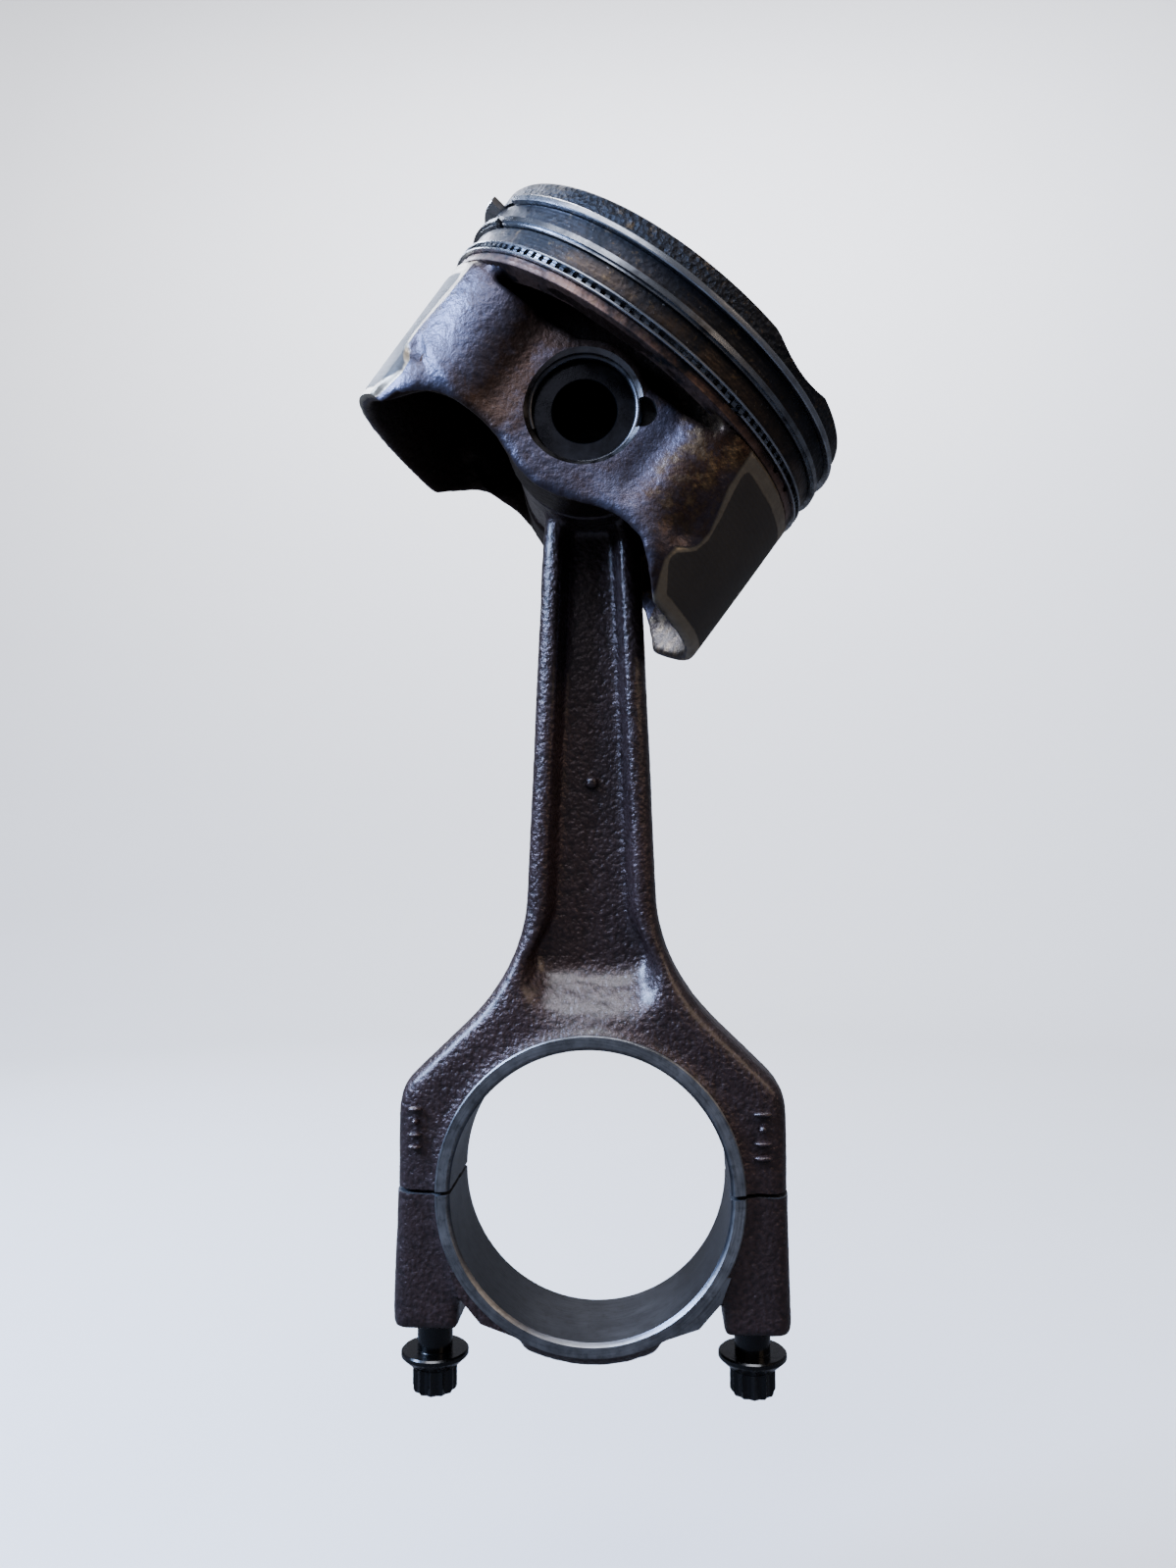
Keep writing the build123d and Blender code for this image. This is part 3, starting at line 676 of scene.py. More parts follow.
def lapped_metal(name, tint, dark):
    """Piston-ring metal, lapped round its face: bright with soot in the fine scratches."""
    material, tree, place = start_material(name)
    local = piston_place(tree, place)
    along = add(tree, "ShaderNodeMapping", {"Vector": local, "Scale": (0.12, 0.12, 4.0)})
    streaks = add(tree, "ShaderNodeTexNoise",
                  {"Vector": along, "Scale": per_metre(0.8), "Detail": 4.0, "Roughness": 0.65})
    soot = add(tree, "ShaderNodeTexNoise",
               {"Vector": local, "Scale": per_metre(5.0), "Detail": 4.0, "Roughness": 0.65})
    colour = layered(tree, tint, (soot, 0.42, 0.66, dark, linear("#221f1f")),
                     (streaks, 0.5, 0.75, 0.5, linear("#3b3b40")))
    gloss = add(tree, "ShaderNodeMapRange", {0: soot, 1: 0.3, 2: 0.7, 3: 0.18, 4: 0.36})
    scratched = add(tree, "ShaderNodeBump", {"Height": streaks, "Distance": 0.01 * MM})
    return surfaced(material, {"Base Color": colour, "Metallic": 1.0, "Roughness": gloss,
                               "Normal": scratched})


def ground_pin():
    """Case-hardened ground steel, with the hole through it painted near black as shade."""
    material, tree, place = start_material("ground_hardened_steel")
    film = add(tree, "ShaderNodeTexNoise",
               {"Vector": place, "Scale": per_metre(4.0), "Detail": 4.0, "Roughness": 0.6})
    grain = add(tree, "ShaderNodeTexNoise", {"Vector": place, "Scale": per_metre(0.5)})
    across = add(tree, "ShaderNodeMapping", {"Vector": place, "Location": -PIN_AT, "Scale": (1.0, 0.0, 1.0)})
    radius = add(tree, "ShaderNodeVectorMath", {0: across}, "Value", operation="LENGTH")
    # painted shade: the hole through the pin goes near black and matt
    hole = add(tree, "ShaderNodeMapRange", {0: radius, 1: 6.2 * MM, 2: 5.95 * MM})
    colour = layered(tree, linear("#17171a"), (film, 0.0, 1.0, 1.0, linear("#3a3a3e")),
                     (hole, 0.0, 1.0, 1.0, linear("#030303")))
    sheen = add(tree, "ShaderNodeMapRange", {0: film, 1: 0.3, 2: 0.7, 3: 0.22, 4: 0.42})
    matt = add(tree, "ShaderNodeMath", {0: hole, 1: 0.5}, operation="MULTIPLY")
    gloss = add(tree, "ShaderNodeMath", {0: sheen, 1: matt}, operation="ADD")
    grained = add(tree, "ShaderNodeBump", {"Height": grain, "Distance": 0.01 * MM})
    return surfaced(material, {"Base Color": colour, "Metallic": 1.0, "Roughness": gloss, "Normal": grained})


def bored_metal(name, light, dark, marks_mm):
    """A freshly bored surface: bright, with turning marks along the bore."""
    material, tree, place = start_material(name)
    film = add(tree, "ShaderNodeTexNoise",
               {"Vector": place, "Scale": per_metre(3.0), "Detail": 4.0, "Roughness": 0.6})
    marks = add(tree, "ShaderNodeTexWave",
                {"Vector": place, "Scale": WAVE * per_metre(marks_mm), "Distortion": 0.2}, "Fac",
                bands_direction="Y")
    colour = layered(tree, linear(dark), (film, 0.0, 1.0, 1.0, linear(light)))
    gloss = add(tree, "ShaderNodeMapRange", {0: film, 1: 0.3, 2: 0.7, 3: 0.22, 4: 0.4})
    marked = add(tree, "ShaderNodeBump", {"Height": marks, "Distance": 0.01 * MM})
    return surfaced(material, {"Base Color": colour, "Metallic": 1.0, "Roughness": gloss, "Normal": marked})


def blackened_hole():
    """A blind hole caked with burnt oil and painted near black as shade in its depth: black and matt."""
    material, tree, place = start_material("oil_and_shade_blackened_notch")
    cake = add(tree, "ShaderNodeTexNoise",
               {"Vector": place, "Scale": per_metre(0.9), "Detail": 3.0, "Roughness": 0.6})
    colour = layered(tree, linear("#040404"), (cake, 0.0, 1.0, 1.0, linear("#16110f")))
    caked = add(tree, "ShaderNodeBump", {"Height": cake, "Distance": 0.08 * MM})
    return surfaced(material, {"Base Color": colour, "Roughness": 0.6, "Normal": caked})


def matt_paint(tint):
    """Plain matt floor. It throws little light back, as if black cards stood round the set."""
    material, tree, place = start_material("matt_floor_paint")
    seen = add(tree, "ShaderNodeLightPath", output="Is Camera Ray")
    mottle = add(tree, "ShaderNodeTexNoise", {"Vector": place, "Scale": per_metre(40.0)})
    paint = layered(tree, tint, (mottle, 0.0, 1.0, 1.0, shaded(tint, 0.98)))
    colour = layered(tree, linear("#3a3a3c"), (seen, 0.0, 1.0, 1.0, paint))
    return surfaced(material, {"Base Color": colour, "Roughness": 0.9})


def shared(name, build, *settings):
    """The named material, made once."""
    return bpy.data.materials.get(name) or build(*settings)


def forging_material(settings):
    return shared("shot_blasted_forged_steel", shot_blasted_forging, list(settings.forged))


def ground_material(settings):
    return shared("ground_steel_face", ground_steel, list(settings.ground))


# ---- rod and cap ----------------------------------------------------------------------------------
def disc(name, radius, half, edge, inner, segments, material):
    """A disc across Y, with its edges broken."""
    outline = [(inner, -half), (radius - edge, -half), (radius, edge - half), (radius, half - edge),
               (radius - edge, half), (inner, half)]
    return moved(lathe(name, outline, segments, material), ALONG_Y)


def crank_ring(settings, material):
    """The ground thrust ring, a plain washer before it is bored."""
    return disc("crank_ring", settings.ring_radius, settings.ring_half, 0.25 * MM, 18 * MM, 192, material)


def crank_bore(settings, material):
    """The crankpin bore, with a chamfer at each thrust face."""
    r, half, chamfer, past = settings.bore_radius, settings.ring_half, 0.7 * MM, 2 * MM
    flare = r + chamfer + past
    outline = [(0, -half - past), (flare, -half - past), (r, chamfer - half), (r, half - chamfer),
               (flare, half + past), (0, half + past)]
    return moved(lathe("crank_bore", outline, 192, material), ALONG_Y)


def bar(name, radius, low, high, segments=48, material=None):
    """A round bar along Z."""
    return lathe(name, [(0, low), (radius, low), (radius, high), (0, high)], segments, material)


def plug(radius, low, high, at, segments=48, turn=Matrix()):
    """A bar that fills a hole before the piece is skinned, so that the hole is bored clean afterwards."""
    return moved(bar("plug", radius, low, high, segments), at @ turn)


def crank_plug(settings):
    return plug(settings.bore_radius + 0.6 * MM, -8.5 * MM, 8.5 * MM, Matrix(), 128, ALONG_Y)


def forged_skin(thing, settings, in_ring, from_bore, forged):
    """Keep the skin behind the thrust faces, pebble the rest of it and give it its material."""
    places = corners(thing)
    limit = settings.ring_half - 0.35 * MM
    places[in_ring, 1] = np.clip(places[in_ring, 1], -limit, limit)
    put_corners(thing, places)
    pebbled(thing, settings, step(from_bore, settings.ring_radius, settings.ring_radius + 1.5 * MM))
    thing.data.materials.clear()
    thing.data.materials.append(forged)


def crack(x, y):
    """Height of the fracture between rod and cap."""
    coarse = noise.noise(Vector((x, y, 0.0)) / (6 * MM) + Vector((3.1, 0.4, 0.2)))
    fine = noise.noise(Vector((x, y, 0.0)) / (1.6 * MM) + Vector((0.7, 8.2, 0.9)))
    return (0.42 * coarse + 0.16 * fine) * MM


def cracked_block(side, offset, material):
    """A block whose near face follows the fracture: side -1 lies below it, and 1 above it."""
    nx, ny, reach_x, reach_y, thick = 160, 48, 42 * MM, 13 * MM, 60 * MM
    near, far = [], []
    for j in range(ny + 1):
        for i in range(nx + 1):
            x, y = reach_x * (2 * i / nx - 1), reach_y * (2 * j / ny - 1)
            near.append((x, y, crack(x, y) + offset))
            far.append((x, y, side * thick))
    count, row = len(near), nx + 1
    faces = []
    for j in range(ny):
        for i in range(nx):
            a = j * row + i
            faces.append((a, a + 1, a + row + 1, a + row))
            faces.append((count + a, count + a + row, count + a + row + 1, count + a + 1))
    rim = list(range(row)) + [j * row + nx for j in range(1, ny + 1)]
    rim += [ny * row + i for i in range(nx - 1, -1, -1)] + [j * row for j in range(ny - 1, 0, -1)]
    for a, b in zip(rim, rim[1:] + rim[:1]):
        faces.append((a, b, count + b, count + a))
    return from_faces("cracked_block", near + far, faces, material)


def pebbled(thing, settings, mask=1.0):
    """Raise the pebbled skin that a forging or casting has."""
    places = corners(thing)
    height = 0.9 * ripple(places, settings.pebble_size, 1) + 0.6 * ripple(places, 3 * settings.pebble_size, 2)
    height += 1.6 * ripple(places, 12 * settings.pebble_size, 3)
    put_corners(thing, places + outward(thing) * (height * settings.pebble * mask)[:, None])
    return thing


# middle, half width and half height of each raised bar or dot, in mm
EAR_MARKS = ((-33.4, 15.0, 1.4, 0.55), (-33.4, 12.6, 0.7, 0.7), (-33.4, 10.2, 1.4, 0.55),
             (-33.4, 7.9, 1.4, 0.55), (32.6, 14.8, 1.8, 0.6), (32.6, 12.1, 0.75, 0.75), (32.6, 9.4, 1.8, 0.6),
             (32.6, 6.7, 1.8, 0.6))
WEB_DOT = ((0.0, 77.8, 1.4, 1.4),)


def raised_marks(places, half_thick, y, material):
    """Plain raised bars and dots, set into the skin at a depth of y; all sizes are in mm."""
    marks = []
    for x, z, wide, tall in places:
        form = bmesh.new()
        bmesh.ops.create_icosphere(form, subdivisions=3, radius=1.0)
        mesh = bpy.data.meshes.new("mark")
        form.to_mesh(mesh)
        form.free()
        mesh.materials.append(material)
        shape = Matrix.Diagonal((wide * MM, half_thick * MM, tall * MM, 1.0))
        at = Matrix.Translation(Vector((x, y, z)) * MM)
        marks.append(moved(new_object("mark", mesh), at @ shape))
    return marks


def make_rod(settings):
    forged, ground = forging_material(settings), ground_material(settings)
    rod = copy_of("connecting_rod")
    places = corners(rod)
    places[places[:, 2] < NEAR, 2] = -4 * MM
    put_corners(rod, places)
    depth, small_end = settings.drill_depth, Matrix.Translation(PIN_AT)
    bolt_lines = [Matrix.Translation((side * settings.bolt_x, 0, 0)) for side in (-1, 1)]
    plugs = [plug(settings.drill_radius + 0.3 * MM, -4 * MM, depth + 0.6 * MM, at) for at in bolt_lines]
    plugs.append(crank_plug(settings))
    plugs.append(plug(settings.bush_radius + 0.6 * MM, -9.5 * MM, 9.5 * MM, small_end, 96, ALONG_Y))
    rod = joined("connecting_rod_forging", [rod] + plugs)
    reskin(rod, settings.mesh_size)
    places = corners(rod)
    # broad forging radii on the ears and shoulders, tighter ones along the beam's flanges
    ears = 1 - step(places[:, 2], 34 * MM, 56 * MM)
    relax(rod, 14)
    relax(rod, 50, ears)
    places = corners(rod)
    from_bore = np.hypot(places[:, 0], places[:, 2])
    forged_skin(rod, settings, from_bore < settings.ring_radius, from_bore, forged)
    combine(rod, crank_ring(settings, ground), "UNION")
    eye = disc("eye", settings.eye_radius, settings.eye_half, 0.4 * MM, 0, 128, forged)
    combine(rod, moved(eye, small_end), "UNION")
    for mark in raised_marks(EAR_MARKS, 0.95, -9.7, forged) + raised_marks(WEB_DOT, 1.3, -2.1, forged):
        combine(rod, mark, "UNION")
    combine(rod, crank_bore(settings, ground), "DIFFERENCE")
    seat = moved(bar("seat", settings.bush_radius, -20 * MM, 20 * MM, 96, ground), ALONG_Y)
    combine(rod, moved(seat, small_end), "DIFFERENCE")
    for at in bolt_lines:
        drill = bar("drill", settings.drill_radius, -6 * MM, depth, 48, ground)
        combine(rod, moved(drill, at), "DIFFERENCE")
    split = shared("fracture_split_steel", cracked_steel)
    combine(rod, cracked_block(-1, 0.0, split), "DIFFERENCE")
    return finish(rod, "rod", "forged_steel", "connecting_rod")


# the shoulder under each side of the cap's ring, in mm
CAP_LUG = ((20, -14), (26.3, -14), (24.6, -18.6), (20.4, -23.4), (14, -25.6))


def make_cap(settings):
    forged, ground = forging_material(settings), ground_material(settings)
    cap = copy_of("rod_cap")
    places = corners(cap)
    places[places[:, 2] > -settings.parting - NEAR, 2] = 4 * MM
    put_corners(cap, places)
    bolt_lines = [Matrix.Translation((side * settings.bolt_x, 0, 0)) for side in (-1, 1)]
    wide = settings.drill_radius + 0.3 * MM
    plugs = [plug(wide, 0.3 * MM - settings.seat, 4 * MM, at) for at in bolt_lines]
    cap = joined("rod_cap_forging", [cap] + plugs + [crank_plug(settings)])
    reskin(cap, settings.mesh_size)
    relax(cap, 22)
    places = corners(cap)
    from_bore = np.hypot(places[:, 0], places[:, 2] + settings.parting)
    in_ring = (from_bore < settings.ring_radius) | (np.abs(places[:, 0]) < 25 * MM)
    # the ears flare a little towards the bolt seats
    ears = step(np.abs(places[:, 0]), 30 * MM, 36 * MM) * step(-places[:, 2], 0.0, settings.seat)
    places[:, 0] += np.sign(places[:, 0]) * 0.5 * MM * ears
    put_corners(cap, places)
    forged_skin(cap, settings, in_ring, from_bore, forged)
    down = Matrix.Translation((0, 0, -settings.parting))
    combine(cap, moved(crank_ring(settings, ground), down), "UNION")
    half = settings.ring_half - 0.05 * MM
    # only the side that the tooling bore on was ground
    for side, surface in ((-1, forged), (1, ground)):
        outline = [(side * x * MM, z * MM) for x, z in CAP_LUG]
        combine(cap, moved(prism("lug", outline, -half, half, surface), down), "UNION")
    combine(cap, moved(crank_bore(settings, ground), down), "DIFFERENCE")
    for at in bolt_lines:
        combine(cap, moved(bar("seat", 9 * MM, -40 * MM, -settings.seat, 64, ground), at), "DIFFERENCE")
        drill = bar("drill", settings.drill_radius, -40 * MM, 8 * MM, 48, ground)
        combine(cap, moved(drill, at), "DIFFERENCE")
    split = shared("fracture_split_steel", cracked_steel)
    combine(cap, cracked_block(1, -settings.parting, split), "DIFFERENCE")
    return finish(cap, "cap", "forged_steel", "rod_cap")


# ---- bolts ----------------------------------------------------------------------------------------
def make_bolt(settings, side):
    """A flanged bolt with a many-pointed driven head, head down."""
    oxide = shared("oiled_black_oxide_steel", black_oxide, list(settings.oxide))
    node = f"rod_bolt_{side}"
    low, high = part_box(node)
    top = low.z + settings.head_height + settings.flange_cone + settings.flange_rim
    rim, cone, edge = settings.flange_rim, settings.flange_cone, 0.3 * MM
    head_low = -rim - cone - settings.head_height
    core, shank, r = settings.head_radius * 0.87, settings.shank_radius, settings.flange_radius
    end, fillet, root = settings.bolt_length, 0.1 * MM, shank - 0.15 * MM
    thread_low = end - settings.thread_length
    outline = [(0, head_low + 0.5 * MM), (core * 0.55, head_low + 0.5 * MM), (core * 0.62, head_low),
               (core - 0.5 * MM, head_low), (core, head_low + 0.5 * MM), (core, -rim - cone),
               (core + 0.5 * MM, -rim - cone + 0.2 * MM), (r - edge, -rim), (r, edge - rim), (r, -edge),
               (r - edge, 0), (shank + fillet, 0), (shank, fillet), (shank, thread_low),
               (root, thread_low + 0.4 * MM), (root, end - 1 * MM), (shank - 0.9 * MM, end), (0, end)]
    body = lathe(node + "_forged", outline, 72, oxide)
    reach, wide = settings.head_radius - core, 0.98 * MM
    tooth = []
    rises = ((head_low + 0.05 * MM, 0.35), (head_low + 0.7 * MM, 1.0), (-rim - cone + 0.3 * MM, 1.0))
    for z, out in rises:
        tooth += [(-0.4 * MM, -wide, z), (reach * out, 0, z), (-0.4 * MM, wide, z)]
    faces = [(0, 1, 2), (6, 7, 8)]
    for k in (0, 3):
        faces += [(k + j, k + (j + 1) % 3, k + 3 + (j + 1) % 3, k + 3 + j) for j in range(3)]
    points = grown(from_faces("point", tooth, faces), circle_of_copies_tree,
                   {"Count": settings.points, "Radius": core, "Sweep": 2 * pi, "Material": oxide})
    thread = grown(from_faces("thread", tooth, faces), thread_tree,
                   {"Radius": settings.thread_radius, "Depth": 0.32 * MM, "Pitch": settings.thread_pitch,
                    "Length": settings.thread_length - 1.5 * MM, "Material": oxide})
    moved(thread, Matrix.Translation((0, 0, thread_low + 0.5 * MM)))
    bolt = joined(node + "_steel", [body, points, thread])
    moved(bolt, Matrix.Translation(((low.x + high.x) / 2, 0, top)))
    return finish(bolt, f"bolt_{side}", "black_bolt", node, sharp=30)


# ---- piston ---------------------------------------------------------------------------------------
# half the width of the turned skirt and of its print: height in mm, and degrees from the skirt's middle
SKIRT_EDGE = ((-21.5, 38.5), (-17, 42.5), (-14, 44.4), (-11, 43.4), (-9.5, 40), (-8, 38.3), (-5, 37.6),
              (-2, 38.9), (3, 41.5), (9, 42))
PRINT_EDGE = ((-18.5, 37), (-16, 40.6), (-14.5, 42.6), (-13.3, 43.4), (-12, 42.8), (-11, 41), (-9, 38),
              (-6, 36.6), (-2, 37.6), (6.5, 40.4), (8, 39.4))


def reach_at(table, height):
    """Half angle in radians, from (height in mm, half angle in degrees) pairs."""
    heights, angles = np.array(table, float).T
    return np.radians(np.interp(height / MM, heights, angles))


def skirt_angles(places):
    """Angle away from the nearer skirt's middle, and the radius from the piston's axis."""
    x = places[:, 0] - AXIS_X
    return np.arctan2(np.abs(places[:, 1]), np.abs(x)), np.hypot(x, places[:, 1])


def panel_relief(x, z):
    """How far the cast side panels stand out from their plain shape."""
    deep = -1.3 * hump(x, -15 * MM, 4.5 * MM) * step(z, -14 * MM, -8 * MM)
    deep += -0.9 * hump(x, 16 * MM, 3 * MM) * step(z, -12 * MM, -6 * MM)
    full = 0.7 * hump(x, 24 * MM, 5 * MM) * hump(z, -2 * MM, 6 * MM)
    full += 0.5 * hump(x, -27 * MM, 5 * MM) * hump(z, 2 * MM, 8 * MM)
    crease = -0.9 * hump(x, 28 * MM, 1.6 * MM) * hump(z, -9 * MM, 2.5 * MM)
    # low on the minor-thrust side the wall steps in under a rounded ledge
    ledge = np.interp(x / MM, (-36, -29, -22, -12), (-2.5, -8, -10.8, -15)) * MM
    under = -1.3 * step(ledge - z, 0.0, 2.2 * MM) * (1 - step(x, -20 * MM, -12 * MM))
    return (deep + full + crease + under) * MM


def make_casting(settings):
    material = shared("stained_cast_aluminium", stained_casting, settings)
    bored = shared("reamed_aluminium", bored_metal, "reamed_aluminium", "#8d8a88", "#3a3230", 0.79)
    casting = moved(copy_of("piston"), ROW_TO_PISTON)
    plugs, face = [], settings.boss_face - 0.25 * MM
    for side in (-1, 1):
        low, high = sorted((side * 12.6 * MM, side * face))
        plugs.append(plug(settings.pin_bore + 2.6 * MM, low, high, Matrix(), 64, ALONG_Y))
        low, high = sorted((side * 24 * MM, side * face))
        plugs.append(plug(settings.notch_radius + 0.4 * MM, low, high, NOTCH_AT, 32, ALONG_Y))
    casting = joined("piston_casting", [casting] + plugs)
    reskin(casting, settings.mesh_size)
    relax(casting, 9)
    places = corners(casting)
    angle, radius = skirt_angles(places)
    x, y, z = places.T
    below = 1 - step(z, 9.5 * MM, 11.5 * MM)
    near = hump(np.degrees(angle), 40.0, 9.0) * below * (radius > 36 * MM)
    shift = (reach_at(SKIRT_EDGE, z) - radians(40)) * near
    turned = angle + shift
    sx, sy = np.sign(x - AXIS_X), np.sign(y)
    places[:, 0] = AXIS_X + sx * radius * np.cos(turned)
    places[:, 1] = sy * radius * np.sin(turned)
    side = step(np.abs(y), 26 * MM, 28 * MM) * step(radius, 0.0, 1 * MM) * below
    places[:, 1] += np.sign(y) * panel_relief(x, z) * side
    angle, radius = skirt_angles(places)
    inside_skirt = (reach_at(SKIRT_EDGE, z) - angle) * settings.skirt_radius
    outer = step(radius, settings.skirt_radius - 1.3 * MM, settings.skirt_radius - 0.7 * MM)
    skirt = step(inside_skirt, 0.2 * MM, 1.6 * MM) * outer * below
    barrel = 0.05 * MM * ((z + 6 * MM) / (14 * MM)) ** 2
    target = (settings.skirt_radius - barrel) / np.maximum(radius, TINY)
    scale = 1 + (target - 1) * skirt * step(z, -21.0 * MM, -19.6 * MM)
    places[:, 0] = AXIS_X + (places[:, 0] - AXIS_X) * scale
    places[:, 1] *= scale
    # behind the separate turned belt the casting keeps well inside the groove roots
    belt_low = settings.belt_height - 0.3 * MM
    inset = settings.land_radius - settings.root_radius + 0.6 * MM
    limit = settings.land_radius - inset * step(z, belt_low, belt_low + 0.9 * MM)
    angle, radius = skirt_angles(places)
    squeeze = np.where(z > belt_low, np.minimum(1, limit / np.maximum(radius, TINY)), 1)
    places[:, 0] = AXIS_X + (places[:, 0] - AXIS_X) * squeeze
    places[:, 1] *= squeeze
    places[:, 2] = np.minimum(places[:, 2], settings.crown_height - 2.5 * MM)
    put_corners(casting, places)
    pebbled(casting, settings, 1 - skirt)
    casting.data.materials.clear()
    casting.data.materials.append(material)
    for s in (-1, 1):
        drill_pin_boss(casting, settings, s, bored)
    paint_casting(casting, settings)
    moved(casting, PISTON_TO_ROW)
    return finish(casting, "piston", "cast_alloy", "piston")


def drill_pin_boss(casting, settings, s, bored):
    """The reamed pin bore with its polished mouth, the clip groove and the notch beside it."""
    face, r = settings.boss_face, settings.pin_bore
    clip = r + 0.75 * MM
    mouth = [(0, 10 * MM), (r, 10 * MM), (r, 26.35 * MM), (clip, 26.4 * MM), (clip, 27.85 * MM),
             (r, 27.9 * MM), (r, face - 1.1 * MM), (r + 2.6 * MM, face + 1.5 * MM), (0, face + 1.5 * MM)]
    tool = moved(lathe("mouth", mouth, 96, bored), ALONG_Y)
    if s < 0:
        moved(tool, Matrix.Rotation(pi, 4, "X"))
    combine(casting, tool, "DIFFERENCE")
    n0, n1 = sorted((s * 26.3 * MM, s * 34 * MM))
    # the notch is near black: burnt oil, and painted shade in its depth
    dark = shared("oil_and_shade_blackened_notch", blackened_hole)
    notch = moved(bar("notch", settings.notch_radius, n0, n1, 40, dark), ALONG_Y)
    combine(casting, moved(notch, NOTCH_AT), "DIFFERENCE")


def paint_casting(casting, settings):
    """Store where the skirt is turned, where the print ends, and how much burnt oil lies on the casting, with
    painted shade and painted highlights mixed into that amount.
    """
    places = corners(casting)
    angle, radius = skirt_angles(places)
    x, y, z = places.T
    inside = (reach_at(SKIRT_EDGE, z) - angle) * settings.skirt_radius
    on_skirt = radius > settings.skirt_radius - 1.2 * MM
    turned = np.where(on_skirt, np.clip(inside / MM, -3, 3), -3.0)
    to_side = (reach_at(PRINT_EDGE, z) - angle) * settings.skirt_radius
    to_edge = np.minimum(np.minimum(to_side, 8 * MM - z), z + 18.5 * MM)
    edge = np.where(on_skirt, np.clip(to_edge / MM, -3, 3), -3.0)
    # burnt oil over the panels, heavier on the right bulge; the extra in the hollow left of the boss and
    # under the overhanging ring belt is painted shade as well as oil
    brown = 0.42 + 0.5 * hump(x, -14 * MM, 5 * MM) + 0.4 * hump(x, 24 * MM, 7 * MM) * hump(z, 0.0, 9 * MM)
    brown += 0.5 * step(z, 5 * MM, 10 * MM)
    # less on the left panel and on the fillet right of the boss, where the window light catches them: painted
    # highlights
    brown -= 0.45 * hump(x, -27 * MM, 6 * MM) + 0.3 * hump(x, 14 * MM, 2.5 * MM)
    # everything inside the lands and set in from the boss faces, the inside of the piston among it, goes near
    # black: painted shade over the oil
    within = (np.abs(y) < 28.2 * MM) & (radius < settings.land_radius - 1.6 * MM)
    brown = np.where(within, 1.5, brown)
    for name, values in (("turned", turned), ("print_edge", edge), ("varnish", brown)):
        layer = casting.data.attributes.new(name, "FLOAT", "POINT")
        layer.data.foreach_set("value", values.astype(np.float32))


# each pair of valve pockets: distance from the axis, radius and depth in mm, and degrees either side of +X
VALVE_POCKETS = ((27.0, 16.3, 2.0, 44.0), (24.5, 13.6, 1.3, 136.0))
# where the oil drains are, in degrees
DRAINS = (22, 31, 329, 338, 149, 158, 202, 211)


def make_belt(settings):
    """The turned ring belt and crown, with its grooves, valve pockets and drain notches."""
    material = shared("carboned_turned_aluminium", burnt_belt, settings)
    land, root, play, edge = settings.land_radius, settings.root_radius, 0.04, 0.12 * MM
    low, high = settings.belt_height, settings.crown_height
    inner, roof = root - 1.4 * MM, high - 4.2 * MM
    outline = [(0, roof), (inner, roof), (inner, low), (land - edge, low), (land, low + edge)]
    for bottom, top in (OIL_GROOVE, SECOND_GROOVE, TOP_GROOVE):
        g0, g1 = (bottom - play) * MM, (top + play) * MM
        outline += [(land, g0 - edge), (land - edge, g0), (root, g0), (root, g1), (land - edge, g1),
                    (land, g1 + edge)]
    outline += [(land, high - 0.5 * MM), (land - 0.15 * MM, high - 0.15 * MM), (land - 0.5 * MM, high),
                (0, high)]
    belt = lathe("piston_ring_belt", outline, 256, material)
    for distance, radius, depth, degrees in VALVE_POCKETS:
        for turn in (radians(degrees), -radians(degrees)):
            cone = [(0, 0), (radius - depth, 0), (radius + 1, depth + 1), (0, depth + 1)]
            pocket = lathe("pocket", [(r * MM, z * MM) for r, z in cone], 96, material)
            at = (distance * MM * cos(turn), distance * MM * sin(turn), high - depth * MM)
            combine(belt, moved(pocket, Matrix.Translation(at)), "DIFFERENCE")
    for degrees in DRAINS:
        drain = bar("drain", 0.9 * MM, root + 0.5 * MM, land + 2 * MM, 20, material)
        moved(drain, Matrix.Rotation(pi / 2, 4, "Y"))
        at = Matrix.Rotation(radians(degrees), 4, "Z") @ Matrix.Translation((0, 0, OIL_GROOVE[0] * MM))
        combine(belt, moved(drain, at), "DIFFERENCE")
    moved(belt, PISTON_TO_ROW @ Matrix.Translation((AXIS_X, 0, 0)))
    return finish(belt, "piston", "cast_alloy", sharp=30)


# ---- rings ----------------------------------------------------------------------------------------
# thickness of an oil rail, in mm
RAIL = 0.45


def ring_piece(node, outline, gap_at, gap, material, slot, swell=None):
    """An open ring, with a gap of so many degrees, its middle at gap_at."""
    section = [(r * MM, z * MM) for r, z in outline]
    start, sweep = radians(gap_at + gap / 2), radians(360 - gap)
    piece = lathe(node + "_steel", section, 300, material, start, sweep, swell)
    moved(piece, PISTON_TO_ROW @ Matrix.Translation((AXIS_X, 0, 0)))
    return finish(piece, node + "_body", slot, node, sharp=30)


